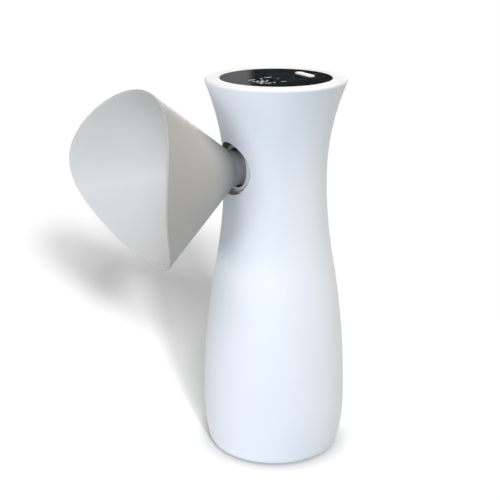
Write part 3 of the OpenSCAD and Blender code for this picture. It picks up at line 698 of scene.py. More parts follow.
# Painted shade: the collar's upper part is painted darker, where the hole's top edge and the cone
# shade it.
COLLAR_SHADE_FADE = (PORT_Z + 0.002, PORT_Z + 0.008)
COLLAR_PAINTED_SHADE = (0.34, 0.34, 0.33, 1)
RING_COUNT = 128
EDGE_LIMIT = 0.4


def by_port(distance, radius, turn):
    """A place about the breath duct's axis, at a distance from the body's axis."""
    return (-distance, radius * math.cos(turn), PORT_Z + radius * math.sin(turn))


def softened(corners, edge):
    """A closed outline with each of its corners cut to two points an edge away from it."""
    made = []
    for i, here in enumerate(corners):
        for other in (corners[i - 1], corners[(i + 1) % len(corners)]):
            share = min(edge / math.dist(here, other), EDGE_LIMIT)
            made.append(tuple(a + (b - a) * share for a, b in zip(here, other)))
    return made


collar_outline = [
    (BORE_R, COLLAR_BACK), (FLANGE_R, COLLAR_BACK), (FLANGE_R, PORT_SEAT), (COLLAR_R, PORT_SEAT),
    (COLLAR_R, COLLAR_FACE - STEP_H), (COLLAR_R - STEP_W, COLLAR_FACE - STEP_H),
    (COLLAR_R - STEP_W, COLLAR_FACE), (COLLAR_R - 2 * STEP_W, COLLAR_FACE),
    (COLLAR_R - 2 * STEP_W, COLLAR_FACE - STEP_H), (COLLAR_R - 3 * STEP_W, COLLAR_FACE - STEP_H),
    (COLLAR_R - 3 * STEP_W, COLLAR_FACE), (MOUTH_GAP_R, COLLAR_FACE),
    (MOUTH_GAP_R, COLLAR_FACE - MOUTH_GAP_DEPTH), (BORE_R, COLLAR_FACE - MOUTH_GAP_DEPTH),
    (BORE_R, GROOVE_TO), (GROOVE_R, GROOVE_TO), (GROOVE_R, GROOVE_FROM), (BORE_R, GROOVE_FROM),
]
collar = Skin()
collar.tube_of([
    [by_port(x, radius, turn) for turn in bearings_round(RING_COUNT)]
    for radius, x in softened(collar_outline, COLLAR_EDGE)
], capped=False)
collar_grey = moulded("collar_grey", (0.80, 0.82, 0.84), 0.42, 3200)
# The collar takes painted shade on its upper part.
collar_grey = tinted(collar_grey, above(*COLLAR_SHADE_FADE), COLLAR_PAINTED_SHADE)
collar_moulding = collar.piece("collar_moulding", collar_grey)
seal_rubber = rubber("seal_rubber", 0.02, 2400)
collar_moulding.data.materials.append(seal_rubber)
# The collar's bore and the gap round the neck take the black rubber: partly a lip of the seal, partly
# painted shade in the gap.
for face in collar_moulding.data.polygons:
    if math.hypot(face.center.y, face.center.z - PORT_Z) < MOUTH_GAP_R + COLLAR_EDGE / 2:
        face.material_index = 1
stands_for(collar_moulding, "housing", "port_collar")
dress("port_seal", seal_rubber)


# Mouthpiece
# One moulding in warm grey plastic: a cone whose rim is cut to the cheeks, and a neck that pushes
# into the port. The wall thins towards a rounded lip.
neck_low, neck_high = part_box("mouthpiece")
NECK_R = 0.00765
NECK_WALL = 0.0015
BORE_IN_R = NECK_R - NECK_WALL
NECK_END = -neck_high.x
NECK_CUT = 0.0003
CUP_HALF = 0.036
CUP_ANGLE = math.radians(37.5)
CUP_START = 0.0228
NECK_BLEND = 0.006
NECK_DIP = 0.0006
DIP_MIDDLE = COLLAR_FACE + 0.0002
DIP_REACH = 0.0028
FACE_R = 0.0836
CUP_WALL = 0.0013
LIP_WALL = 0.0008
LIP_BACK = 0.00072
CUP_TURNS = 192
CUP_STEPS = 40
NECK_STEPS = 3
DIP_STEPS = 16
BORE_STEPS = 6
BEND_STEPS = 8
THICKNESS_PASSES = 3
cup_slope = math.tan(CUP_ANGLE)
cup_tip = CUP_START - NECK_R / cup_slope
in_tip = cup_tip + CUP_WALL / math.sin(CUP_ANGLE)
face_at = cup_tip + CUP_HALF / cup_slope + FACE_R
blend_len = NECK_BLEND * math.tan(CUP_ANGLE / 2)
throat = in_tip + BORE_IN_R / cup_slope
lip_out = -neck_low.x
lip_tip = cup_tip + LIP_WALL / math.sin(CUP_ANGLE)
in_slope = ((lip_out - lip_tip) * cup_slope - BORE_IN_R) / (lip_out - throat)


def cut_at(tip, slope, bearing):
    """Distance along the port's axis at which the face's round cut meets a cone, at a bearing."""
    side = (slope * math.cos(bearing)) ** 2
    a = 1 + side
    b = face_at + side * tip
    c = face_at ** 2 + side * tip ** 2 - FACE_R ** 2
    return (b - math.sqrt(b * b - a * c)) / a


def dip(x):
    """A shallow waist round the neck where it leaves the port, from 0 to 1."""
    off = min(abs(x - DIP_MIDDLE) / DIP_REACH, 1)
    return (1 + math.cos(math.pi * off)) / 2


def inside_r(x):
    return BORE_IN_R + (x - throat) * in_slope


def cup_line(bearing):
    """The wall's outline at one bearing, as (distance, radius) pairs from the neck's end, along
    the outside, over the lip and back through the inside."""
    cut = NECK_END + NECK_CUT
    bend = CUP_START - blend_len
    dip_from = DIP_MIDDLE - DIP_REACH
    straight = [cut, *between(cut, dip_from, NECK_STEPS), *between(dip_from, bend, DIP_STEPS)]
    line = [(NECK_END, NECK_R - NECK_CUT)] + [(x, NECK_R) for x in straight]
    for i in range(BEND_STEPS + 1):
        turn = CUP_ANGLE * i / BEND_STEPS
        line.append((bend + NECK_BLEND * math.sin(turn), NECK_R + NECK_BLEND * (1 - math.cos(turn))))
    out_end = cut_at(cup_tip, cup_slope, bearing) - LIP_BACK
    line += [(x, (x - cup_tip) * cup_slope) for x in between(line[-1][0], out_end, CUP_STEPS)]
    line = [(x, r - NECK_DIP * dip(x)) for x, r in line]
    # Lip: square across the wall, and round from one side to the other
    outer = (out_end, (out_end - cup_tip) * cup_slope)
    across = (math.sin(CUP_ANGLE), -math.cos(CUP_ANGLE))
    along = (math.cos(CUP_ANGLE), math.sin(CUP_ANGLE))
    inner_x, inner_r = outer
    thick = 0.0
    for _ in range(THICKNESS_PASSES):
        thick += (inner_r - inside_r(inner_x)) * math.cos(CUP_ANGLE)
        inner_x = outer[0] + across[0] * thick
        inner_r = outer[1] + across[1] * thick
    for i in range(BEND_STEPS + 1):
        turn = math.pi * i / BEND_STEPS
        step = thick / 2 * (1 - math.cos(turn))
        out = thick / 2 * math.sin(turn)
        line.append(tuple(o + a * step + b * out for o, a, b in zip(outer, across, along)))
    line += [(x, inside_r(x)) for x in between(line[-1][0], throat, CUP_STEPS)]
    line += [(x, BORE_IN_R) for x in (throat, *between(throat, NECK_END, BORE_STEPS), NECK_END)]
    return line


cup = Skin()
cup_turns = bearings_round(CUP_TURNS)
cup_lines = [cup_line(turn) for turn in cup_turns]
cup.tube_of([
    [by_port(x, radius, turn) for (x, radius), turn in zip(places, cup_turns)]
    for places in zip(*cup_lines)
], capped=False)
# Painted shade on the neck near the port, where the cone and the body hem it in; faint rings run
# through it.
NECK_SHADE_FROM = 0.0205
NECK_SHADE_TO = 0.0410
NECK_SHADE_TINT = (0.62, 0.63, 0.64, 1)
NECK_RING_RATE = 1400
NECK_RING_DEPTH = 0.06


def neck_shade_and_rings(place):
    """Painted shade on the neck, darkest where it goes into the port and fading out along it, with
    faint rings.
    """
    rings = (place.axis("X") * NECK_RING_RATE).fraction() * NECK_RING_DEPTH
    return (1 - (0 - place.axis("X")).step(NECK_SHADE_FROM, NECK_SHADE_TO)) * (rings + (1 - NECK_RING_DEPTH / 2))


# Inside and outside are one plastic: the inside is painted paler as painted light, the outside darker
# as painted shade.
cone_grey = moulded("cone_grey", (0.468, 0.466, 0.464), 0.5, specular=0.35)
# The neck takes painted shade near the port.
cone = cup.piece("cone_moulding", tinted(cone_grey, neck_shade_and_rings, NECK_SHADE_TINT), sharp_deg=40)
cone_inside_lit = moulded("cone_inside_lit", (0.62, 0.62, 0.615), 0.42, 3400, 0.00001, specular=0.4)
cone.data.materials.append(cone_inside_lit)
# The faces inside the cone take the paler, painted-light copy.
for face in cone.data.polygons:
    if face.normal.y * face.center.y + face.normal.z * (face.center.z - PORT_Z) < 0:
        face.material_index = 1
stands_for(cone, "mouthpiece", "mouthpiece")


# Power key
# A gloss white moulded key. Its cap rises through the glass with a rounded top; a lip under the
# glass keeps it in, and a stem reaches down to the switch.
key_low, key_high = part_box("power_button")
KEY_X = (key_low.x + key_high.x) / 2
KEY_LENGTH = 0.0121
KEY_WIDTH = 0.0034
KEY_TOP = key_high.z
KEY_EDGE = 0.0005
KEY_LIP_TOP = glass_low.z - 0.0001
KEY_LIP_T = 0.0008
STEM_LENGTH = 0.010
STEM_WIDTH = 0.0022
KEY_TURNS = 24
KEY_EDGE_STEPS = 8


def key_ring(inset, z, length=KEY_LENGTH, width=KEY_WIDTH):
    """A level outline with round ends, its long side along Y."""
    radius = width / 2 - inset
    run = (length - width) / 2
    places = []
    for end in (1, -1):
        for i in range(KEY_TURNS + 1):
            turn = math.pi * i / KEY_TURNS + (0 if end > 0 else math.pi)
            places.append((KEY_X + radius * math.cos(turn), end * run + radius * math.sin(turn), z))
    return places


key = Skin()
lip_size = (key_high.y - key_low.y, key_high.x - key_low.x)
key.tube_of([
    key_ring(0, key_low.z, STEM_LENGTH, STEM_WIDTH),
    key_ring(0, KEY_LIP_TOP - KEY_LIP_T, STEM_LENGTH, STEM_WIDTH),
    key_ring(0, KEY_LIP_TOP - KEY_LIP_T, *lip_size),
    key_ring(0, KEY_LIP_TOP, *lip_size),
    key_ring(0, KEY_LIP_TOP),
    *(key_ring(KEY_EDGE - reach, z)
      for reach, z in arc_points((0, KEY_TOP - KEY_EDGE), KEY_EDGE, 0, 90, KEY_EDGE_STEPS)),
    key_ring(KEY_EDGE * 2, KEY_TOP),
    key_ring(KEY_EDGE * 3, KEY_TOP),
])
key_white = moulded("key_white", (0.86, 0.865, 0.87), 0.3, 3600, 0.00001)
stands_for(key.piece("key_moulding", key_white), "button", "power_button")


# Display glass
# A disc of black-backed acrylic with polished edges, lying in the rim on a black gasket. The lit
# screen lies under it; only its figures can be seen.
SCREEN_FROM = -0.016
SCREEN_TO = 0.008
SCREEN_HALF = 0.0115
SCREEN_EDGE = 0.0003


def band(value, low, high, edge):
    """1 between two values and 0 outside, with soft ends."""
    return value.step(low - edge, low + edge) * (1 - value.step(high - edge, high + edge))


glass_black, place = finish("glass_black")
window = band(place.axis("X"), SCREEN_FROM, SCREEN_TO, SCREEN_EDGE)
window = window * band(place.axis("Y"), -SCREEN_HALF, SCREEN_HALF, SCREEN_EDGE)
smear = noise(place, 130, 4)
painted(glass_black, {
    "Base Color": window.mix((0.0055, 0.0065, 0.0075, 1), (0.0075, 0.0085, 0.0095, 1)),
    "Roughness": 0.045 + smear * 0.05 + window * 0.01,
    "IOR": 1.49,
    "Normal": bump(smear, 0.05, 0.00001),
})
dress("display_lens", glass_black, edge=0.0001)
dress("lens_gasket", rubber("gasket_rubber", 0.012))


# Lit figures
# What the screen shows through the glass: a reading in seven-bar digits and small marks beside
# it, in a pale grey light.
FIGURE_BASE = glass_high.z + 0.000005
FIGURE_T = 0.00001
FIGURE_LIGHT = 0.62
DIM_SHARE = 0.35
DIGIT_H = 0.0042
DIGIT_W = 0.0020
DIGIT_PITCH = 0.0029
BAR_T = 0.00052
BAR_GAP = 0.00008
POINT_SIZE = BAR_T * 1.2
POINT_BACK = BAR_T * 1.1
READING = "3.52"
READING_X = -0.0112
READING_Y = -0.0034
BARS = {"2": "abged", "3": "abgcd", "5": "afgcd"}
# Both ends of each bar, in shares of a digit's width and height
BAR_ENDS = {
    "a": ((0, 1), (1, 1)), "b": ((1, 1), (1, 0.5)), "c": ((1, 0.5), (1, 0)), "d": ((0, 0), (1, 0)),
    "e": ((0, 0.5), (0, 0)), "f": ((0, 1), (0, 0.5)), "g": ((0, 0.5), (1, 0.5)),
}
# Place, width and height of each mark
LIT_MARKS = (
    (-0.0137, -0.0003, 0.0009, 0.0032), (-0.0076, 0.0003, 0.0013, 0.0009),
    (-0.0077, -0.0045, 0.0012, 0.0008), (-0.0078, -0.0101, 0.0011, 0.0009),
    (-0.0046, 0.0017, 0.0007, 0.0031),
)
DIM_MARKS = ((-0.0038, -0.0099, 0.0009, 0.0024), (-0.0018, -0.0032, 0.0006, 0.0012))


def bar_outline(start, end):
    """A six-sided bar from one corner of a digit to another, as (across, up) pairs."""
    run_x, run_y = end[0] - start[0], end[1] - start[1]
    length = math.hypot(run_x, run_y)
    along = (run_x / length, run_y / length)
    side = (-along[1], along[0])
    half = BAR_T / 2
    near, far = BAR_GAP, length - BAR_GAP
    corners = (
        (near, 0), (near + half, -1), (far - half, -1), (far, 0), (far - half, 1), (near + half, 1))
    return [tuple(s + a * run + b * out * half for s, a, b in zip(start, along, side))
            for run, out in corners]


def digit_bars(shape):
    """Outlines of a digit's lit bars about its lower left corner."""
    ends = [[(x * DIGIT_W, y * DIGIT_H) for x, y in BAR_ENDS[letter]] for letter in BARS[shape]]
    return [bar_outline(*pair) for pair in ends]


def set_down(form, outline, x, y):
    """Adds a thin lit shape on the glass. Its right is towards -Y and its top towards +X."""
    levels = (FIGURE_BASE, FIGURE_BASE + FIGURE_T)
    form.tube_of([[(x + up, y - across, z) for across, up in outline] for z in levels])


def set_mark(form, x, y, width, height):
    set_down(form, [(0, 0), (width, 0), (width, height), (0, height)], x, y)


def lit(name, level):
    """Light from the screen's cells, a little uneven from cell to cell."""
    material, place = finish(name)
    cells = place.node("TexVoronoi", None, {"Vector": place, "Scale": 4200})
    return painted(material, {
        "Base Color": (0.02, 0.02, 0.02, 1),
        "Roughness": 0.4,
        "Emission Color": (1 - cells * 0.25).mix(BLACK, shade((0.93, 0.97, 1.0), level)),
        "Emission Strength": 1,
    })


reading = Skin()
bottom = READING_X - DIGIT_H / 2
pen_y = READING_Y
for shape in READING:
    if shape == ".":
        set_mark(reading, bottom, pen_y + POINT_BACK, POINT_SIZE, POINT_SIZE)
        continue
    for outline in digit_bars(shape):
        set_down(reading, outline, bottom, pen_y)
    pen_y -= DIGIT_PITCH
for mark in LIT_MARKS:
    set_mark(reading, *mark)
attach(reading.piece("lit_reading", lit("lit_reading", FIGURE_LIGHT)), "housing")
marks = Skin()
for mark in DIM_MARKS:
    set_mark(marks, *mark)
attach(marks.piece("dim_marks", lit("dim_marks", FIGURE_LIGHT * DIM_SHARE)), "housing")


# Outlet grille
# A grey moulded ring with upright bars, pressed in behind the outlet in the back of the body. The
# breath leaves through it.
dress("exhaust_grille", moulded("grille_grey", (0.40, 0.415, 0.43), 0.5), PLAIN_EDGE)


# Flow tube with its swirlers
# The breath duct is one pale moulded tube. A ring of slanting vanes pressed in at each side of the
# rotor sets the air spinning; both are pale hard plastic with a smooth finish.
def clear_finished(name, colour, roughness):
    """Hard unfilled plastic: smooth, with faint flow lines from the mould."""
    material, place = finish(name)
    flow = place.node("TexNoise", None, {
        "Vector": place, "Scale": 120, "Detail": 3, "Distortion": 1.5}) - 0.5
    return painted(material, {
        "Base Color": tones(flow, colour, 0.95, 1.03),
        "Roughness": roughness + flow * 0.08,
        "Normal": bump(flow, 0.1, 0.00005),
    })


dress("flow_tube", clear_finished("tube_plastic", (0.72, 0.745, 0.76), 0.27), PLAIN_EDGE)
for name in ("front_swirler", "rear_swirler"):
    dress(name, clear_finished("vane_plastic", (0.80, 0.80, 0.78), 0.32), FINE_EDGE)


# Rotor and its bearings
# A thin black vane on a steel axle, which turns with the breath. Each end of the axle stands in
# a cup of polished synthetic ruby.
EVEN = (1, 1, 1)
LINES_ALONG_X = (0.06, 1, 1)


def metal(name, colour, roughness, along=EVEN, grain=1400):
    """Bare or plated metal: fine lines left by drawing or turning, and duller handled spots."""
    material, place = finish(name)
    lines = noise(place, grain, 3, along)
    spots = noise(place, 350, 3)
    return painted(material, {
        "Base Color": tones(spots, colour, 0.9, 1.05),
        "Metallic": 1 - (spots > 0.36) * 0.25,
        "Roughness": roughness + lines * 0.14 + spots * 0.10,
        "Normal": bump(lines, 0.15, 0.00001),
    })


ruby, place = finish("ruby")
depth = noise(place, 900, 2)
painted(ruby, {
    "Base Color": (depth + 0.5).mix((0.34, 0.008, 0.03, 1), (0.52, 0.02, 0.055, 1)),
    "Roughness": 0.06 + depth * 0.03,
    "IOR": 1.76,
    "Transmission Weight": 0.35,
})
dress("front_bearing", ruby)
dress("rear_bearing", ruby)
dress("rotor_vane", moulded("vane_black", (0.018, 0.018, 0.02), 0.38, 5200, 0.000006), SMALL_EDGE)
dress("rotor_axle", metal("axle_steel", (0.60, 0.60, 0.61), 0.22, LINES_ALONG_X))


# Light pick-ups
# Two small circuit boards on the tube's sides. Clear emitters on one and dark receivers on the
# other count the vane as it passes, and a film circuit takes each one's signal up.
PATCH_SCALE = 240
TRACK_RATE = 1150
TRACK_SHARE = 0.34
PAD_SCALE = 480
PAD_REACH = 0.17
TINNED = (0.68, 0.67, 0.63, 1)


def laminate(name, across, along, mask):
    """Circuit board: copper tracks raise and pale the solder mask, and tinned pads break it."""
    material, place = finish(name)
    squares = {"distance": "CHEBYCHEV"}
    patch = place.node("TexVoronoi", squares, {"Vector": place, "Scale": PATCH_SCALE}, out="Color")
    wide = (place.axis(across) * TRACK_RATE).fraction() < TRACK_SHARE
    tall = (place.axis(along) * TRACK_RATE).fraction() < TRACK_SHARE
    turned = patch.axis("X") > 0.5
    tracks = (turned * wide + (1 - turned) * tall) * (patch.axis("Y") > 0.3)
    dots = place.node("TexVoronoi", None, {"Vector": place, "Scale": PAD_SCALE, "Randomness": 0.35})
    pads = (dots < PAD_REACH) * (patch.axis("Z") > 0.62)
    weave = noise(place, 2200, 1)
    return painted(material, {
        "Base Color": pads.mix(
            (tracks * 0.75 + weave * 0.2).mix(shade(mask, 0.75), shade(mask, 2.1)), TINNED),
        "Metallic": pads,
        "Roughness": 0.30 + pads * 0.08 + weave * 0.06,
        "Normal": bump(tracks * 0.6 + pads, 0.4, 0.00003),
    })


def film_circuit(name, across):
    """Amber film with copper conductors showing through it as darker stripes."""
    material, place = finish(name)
    stripes = (place.axis(across) * 1900).fraction() < 0.5
    cloud = noise(place, 300, 2)
    return painted(material, {
        "Base Color": (stripes * 0.8 + cloud * 0.3).mix((0.62, 0.33, 0.07, 1), (0.36, 0.13, 0.03, 1)),
        "Roughness": 0.28 + cloud * 0.08,
        "Normal": bump(stripes, 0.3, 0.00001),
    })


def epoxy(name, colour, transmission, roughness):
    """Cast resin round a die, with faint haze."""
    material, place = finish(name)
    haze = noise(place, 1300, 2)
    return painted(material, {
        "Base Color": tones(haze, colour, 0.85, 1.1),
        "Roughness": roughness + haze * 0.06,
        "IOR": 1.54,
        "Transmission Weight": transmission,
    })


MASK_GREEN = (0.014, 0.115, 0.05)
side_board = laminate("side_board_green", "X", "Z", MASK_GREEN)
dress("emitter_board", side_board, FINE_EDGE)
dress("receiver_board", side_board, FINE_EDGE)
dress("ir_emitters", epoxy("clear_epoxy", (0.72, 0.78, 0.86), 0.7, 0.08))
dress("ir_receivers", epoxy("dark_epoxy", (0.02, 0.018, 0.024), 0.1, 0.14))
dress("sensor_ribbons", film_circuit("ribbon_across_x", "X"))


# Duct cradle and clamps
# The tube lies in two half-round saddles on a disc screwed into the waist, and two clamps hold it
# down. They are dark glass-filled plastic, with the paler streaks of the fibres.
def filled_plastic(name, colour):
    material, place = finish(name)
    streaks = noise(place, 700, 4, (1, 1, 0.25))
    grain = noise(place, 2400, 2)
    return painted(material, {
        "Base Color": (streaks * 1.4 + 0.4).mix(shade(colour, 0.85), shade(colour, 1.7)),
        "Roughness": 0.52 + streaks * 0.18,
        "Normal": bump(grain + streaks, 0.3, 0.00002),
    })


nylon = filled_plastic("filled_nylon", (0.040, 0.041, 0.045))
dress("duct_cradle", nylon, PLAIN_EDGE)
dress("duct_clamps", nylon, PLAIN_EDGE)


# Screws
# Plated steel pan heads with a six-sided socket and a rolled thread, in six sets: base, cell
# holder, duct cradle, clamps, charging board and display stack.
SOCKET_SHARE = 0.52
SOCKET_DEPTH_SHARE = 0.62
THREAD_PITCH = 0.00045
THREAD_DEPTH = 0.13
SCREW_SIDES = 24
SCREWS_APART = 0.0045
SCREW_SETS = ("base", "holder", "cradle", "clamp", "charge", "board")
HEAD_ROUND_SHARE = 0.35
SOCKET_CUT_SHARE = 0.08
SOCKET_CUT_WIDER = 1.12
HOLLOW_SHARE = 0.2
TIP_SHARES = (0.7, 0.5)
TIP_LENGTH = 0.00005


def screws_of(node_name):
    """The corners of each screw of a set. Two screws stand further apart than a head is wide."""
    screws = []
    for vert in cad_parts[node_name].data.vertices:
        for screw in screws:
            if math.dist(screw[0].xy, vert.co.xy) < SCREWS_APART:
                screw.append(vert.co)
                break
        else:
            screws.append([vert.co])
    return screws


def hexagon(radius, turn):
    """Radius of a six-sided outline at a bearing."""
    part = math.pi / 3
    return radius * math.cos(part / 2) / math.cos((turn + part / 2) % part - part / 2)


def screw_rings(x, y, head_end, seat, tip, head_r, shank_r):
    """The rings of a screw, from the floor of its socket to its tip."""
    sense = 1 if head_end > seat else -1
    head_h = abs(head_end - seat)
    floor_z = head_end - sense * head_h * SOCKET_DEPTH_SHARE
    socket_r = head_r * SOCKET_SHARE
    edge = head_h * HEAD_ROUND_SHARE

    def ring(radius, z, six_sided=False):
        places = []
        for c in range(SCREW_SIDES):
            turn = 2 * math.pi * c / SCREW_SIDES
            reach = hexagon(radius, turn) if six_sided else radius
            places.append((x + reach * math.cos(turn), y + reach * math.sin(turn), z))
        return places

    rings = [
        ring(socket_r, floor_z, True),
        ring(socket_r, head_end - sense * head_h * SOCKET_CUT_SHARE, True),
        ring(socket_r * SOCKET_CUT_WIDER, head_end, True),
    ]
    for radius, z in arc_points((head_r - edge, 0), edge, 90, 0, 4):
        rings.append(ring(radius, head_end - sense * (edge - z)))
    rings += [ring(head_r, seat), ring(shank_r, seat)]
    turns = int((abs(tip - seat) - THREAD_PITCH) / THREAD_PITCH)
    for i in range(turns):
        root = seat - sense * (i + 0.5) * THREAD_PITCH
        crest = seat - sense * (i + 1) * THREAD_PITCH
        rings += [ring(shank_r * (1 - THREAD_DEPTH), root), ring(shank_r, crest)]
    for share, z in zip(TIP_SHARES, (tip + sense * TIP_LENGTH, tip)):
        rings.append(ring(shank_r * share, z))
    return rings


screw_steel = metal("screw_steel", (0.56, 0.56, 0.57), 0.28, grain=2600)
for screw_set in SCREW_SETS:
    node_name = screw_set + "_screws"
    made = Skin()
    for screw in screws_of(node_name):
        (x_low, x_high), (y_low, y_high), (z_low, z_high) = ((min(v), max(v)) for v in zip(*screw))
        x, y = (x_low + x_high) / 2, (y_low + y_high) / 2
        reach = [(math.hypot(p.x - x, p.y - y), p.z) for p in screw]
        head_r = max(r for r, z in reach)
        shank_r = min(r for r, z in reach if r > head_r * HOLLOW_SHARE)
        heads = [z for r, z in reach if r > (head_r + shank_r) / 2]
        ends = (max(heads), min(heads), z_low)
        if max(heads) < (z_low + z_high) / 2:
            ends = (min(heads), max(heads), z_high)
        made.tube_of(screw_rings(x, y, *ends, head_r, shank_r))
    stands_for(made.piece("made_" + node_name, screw_steel), "housing", node_name)


# Cell, its holder and its leads
# A rechargeable steel can in a printed shrink sleeve stands in a dark plastic trough. Nickel
# plates touch its ends, and a red and a black lead run up from them to the display's board.
cell_low, cell_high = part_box("battery_cell")
SLEEVE_END = 0.0010
SLEEVE_TURN = 0.0075
RING_IN = 0.0030
RING_OUT = 0.0068
STRIPE_FROM = 0.0092
STRIPE_TO = 0.0074
CAN_STEEL = (0.62, 0.61, 0.58, 1)
WASHER_PAPER = (0.75, 0.74, 0.70, 1)
STRIPE_GREY = (0.70, 0.71, 0.72, 1)
cell_wrap, place = finish("cell_wrap")
off_axis = place.axis("X") * place.axis("X") + place.axis("Y") * place.axis("Y")
off_axis = off_axis.sum("SQRT", off_axis)
up = place.axis("Z")
sleeved = (off_axis > SLEEVE_TURN) * (up > cell_low.z - SLEEVE_END) * (up < cell_high.z)
washer = (up > (cell_low.z + cell_high.z) / 2) * (off_axis > RING_IN) * (off_axis < RING_OUT)
stripe = (up > cell_high.z - STRIPE_FROM) * (up < cell_high.z - STRIPE_TO)
crinkle = noise(place, 500, 3, (1, 1, 0.2))
blue = (crinkle + 0.5).mix((0.05, 0.13, 0.23, 1), (0.065, 0.16, 0.27, 1))
painted(cell_wrap, {
    "Base Color": sleeved.mix(washer.mix(CAN_STEEL, WASHER_PAPER), stripe.mix(blue, STRIPE_GREY)),
    "Metallic": (1 - sleeved) * (1 - washer),
    "Roughness": 0.3 + crinkle * 0.1 - sleeved * 0.08,
    "Normal": bump(crinkle * sleeved, 0.2, 0.00004),
})
dress("battery_cell", cell_wrap, edge=0.0002)
dress("battery_cradle", nylon, PLAIN_EDGE)
nickel = metal("nickel", (0.66, 0.62, 0.55), 0.26, grain=1800)
dress("positive_contact", nickel, edge=0.00004)
dress("negative_contact", nickel, edge=0.00004)


def insulated(name, front, back):
    """Two leads in soft insulation, a colour for each side of the body."""
    material, place = finish(name)
    wear = noise(place, 500, 3)
    return painted(material, {
        "Base Color": (place.axis("Y") > 0).mix(back, front),
        "Roughness": 0.42 + wear * 0.15,
        "Normal": bump(wear, 0.15, 0.00002),
    })


LEAD_RED = (0.42, 0.018, 0.02, 1)
LEAD_BLACK = (0.016, 0.016, 0.018, 1)
lead_cover = insulated("lead_cover", LEAD_RED, LEAD_BLACK)
dress("battery_leads", lead_cover)
dress("charge_leads", lead_cover)


# Charging board and socket
# A small green board on two posts of the base. Its steel socket shows in the back of the body,
# low down, with a black tongue and gilt contacts inside.
dress("charge_board", laminate("board_green", "X", "Y", MASK_GREEN), FINE_EDGE)
TONGUE_W = 0.0034
TONGUE_T = 0.00045
CONTACT_RATE = 2000
BACK_T = 0.0001
CONTACTS_IN = 0.003
CONTACTS_SHORT = 0.0012
CRISP = 0.00002
SOCKET_STEEL = (0.60, 0.60, 0.62, 1)
TONGUE_BLACK = (0.02, 0.02, 0.022, 1)
GILT = (0.80, 0.58, 0.24, 1)
usb_steel, place = finish("usb_steel")
inside = band(place.axis("Y"), -TONGUE_W, TONGUE_W, CRISP) * band(
    place.axis("Z"), USB_Z - TONGUE_T, USB_Z + TONGUE_T, CRISP)
inside = inside * (place.axis("X") > usb_low.x + BACK_T)
gilt = inside * ((place.axis("Y") * CONTACT_RATE).fraction() < 0.5) * (
    place.axis("X") > usb_low.x + CONTACTS_IN) * (place.axis("X") < usb_high.x - CONTACTS_SHORT)
drawn = noise(place, 1500, 3, LINES_ALONG_X)
painted(usb_steel, {
    "Base Color": gilt.mix(inside.mix(SOCKET_STEEL, TONGUE_BLACK), GILT),
    "Metallic": 1 - inside + gilt,
    "Roughness": 0.28 + drawn * 0.14 + inside * 0.15,
    "Normal": bump(drawn, 0.15, 0.00001),
})
dress("usb_socket", usb_steel, SMALL_EDGE)


# Display board and what it carries
# A round green board on four bosses under the glass, with black chips, cream ribbon connectors
# and the key's switch on it. A dark carrier over it holds the display.
board_low, board_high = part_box("main_board")
PIN_RATE = 1600
PIN_T = 0.00022
CHIP_DARK = (0.016, 0.016, 0.017, 1)
CHIP_PALE = (0.028, 0.028, 0.030, 1)
PIN_BRIGHT = (0.66, 0.66, 0.64, 1)
CREAM_DARK = (0.70, 0.66, 0.54, 1)
CREAM_PALE = (0.77, 0.73, 0.61, 1)
SLOT_BRIGHT = (0.62, 0.60, 0.55, 1)
SLOT_SHARE = 0.35
dress("main_board", laminate("main_board_green", "X", "Y", MASK_GREEN), SMALL_EDGE)
chip_black, place = finish("chip_black")
pins = (place.axis("Z") < board_high.z + PIN_T) * (
    ((place.axis("X") + place.axis("Y")) * PIN_RATE).fraction() < 0.5)
dust = noise(place, 2600, 3)
painted(chip_black, {
    "Base Color": pins.mix((dust + 0.5).mix(CHIP_DARK, CHIP_PALE), PIN_BRIGHT),
    "Metallic": pins,
    "Roughness": 0.6 - pins * 0.3 + dust * 0.1,
    "Normal": bump(dust, 0.3, 0.00001),
})
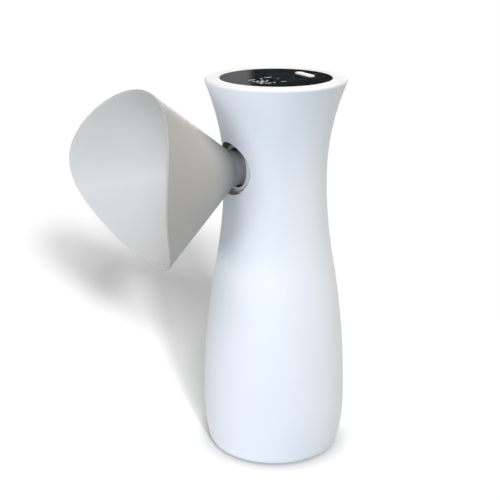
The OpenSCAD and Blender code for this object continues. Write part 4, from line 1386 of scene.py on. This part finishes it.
dress("board_chips", chip_black, SMALL_EDGE)
connector_cream, place = finish("connector_cream")
slots = (place.axis("X") * PIN_RATE).fraction() < SLOT_SHARE
slots = slots * (place.axis("Z") < board_low.z - PIN_T)
tint = noise(place, 900, 2)
painted(connector_cream, {
    "Base Color": slots.mix((tint + 0.5).mix(CREAM_DARK, CREAM_PALE), SLOT_BRIGHT),
    "Metallic": slots,
    "Roughness": 0.45 + tint * 0.1 - slots * 0.15,
    "Normal": bump(slots, 0.4, 0.00003),
})
dress("ribbon_connectors", connector_cream, SMALL_EDGE)
switch_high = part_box("tact_switch")[1]
LID_T = 0.0003
switch_finish, place = finish("switch_lid")
lid = place.axis("Z") > switch_high.z - LID_T
scuff = noise(place, 1500, 3)
painted(switch_finish, {
    "Base Color": lid.mix((0.02, 0.02, 0.021, 1), (0.60, 0.60, 0.61, 1)),
    "Metallic": lid,
    "Roughness": 0.5 - lid * 0.2 + scuff * 0.12,
    "Normal": bump(scuff, 0.2, 0.00001),
})
dress("tact_switch", switch_finish, SMALL_EDGE)
dress("switch_plunger", moulded("plunger_black", (0.022, 0.022, 0.024), 0.4, 3600), edge=0.0001)
dress("display_carrier", nylon, PLAIN_EDGE)
dress("display_ribbon", film_circuit("ribbon_across_y", "Y"))
module_low, module_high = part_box("display_module")
FRONT_T = 0.0002
FRAME_W = 0.001
FRAME_DARK = (0.30, 0.31, 0.32, 1)
FRAME_PALE = (0.36, 0.37, 0.38, 1)
DARK_SCREEN = (0.006, 0.007, 0.009, 1)
module_finish, place = finish("display_module")
front = place.axis("Z") > module_high.z - FRONT_T
face = front
for letter, low, high in zip("XY", module_low, module_high):
    face = face * band(place.axis(letter), low + FRAME_W, high - FRAME_W, CRISP)
haze = noise(place, 400, 3)
painted(module_finish, {
    "Base Color": face.mix((haze + 0.5).mix(FRAME_DARK, FRAME_PALE), DARK_SCREEN),
    "Metallic": (1 - front) * 0.9,
    "Roughness": 0.34 - face * 0.27 + haze * 0.06,
})
dress("display_module", module_finish, edge=0.0001)
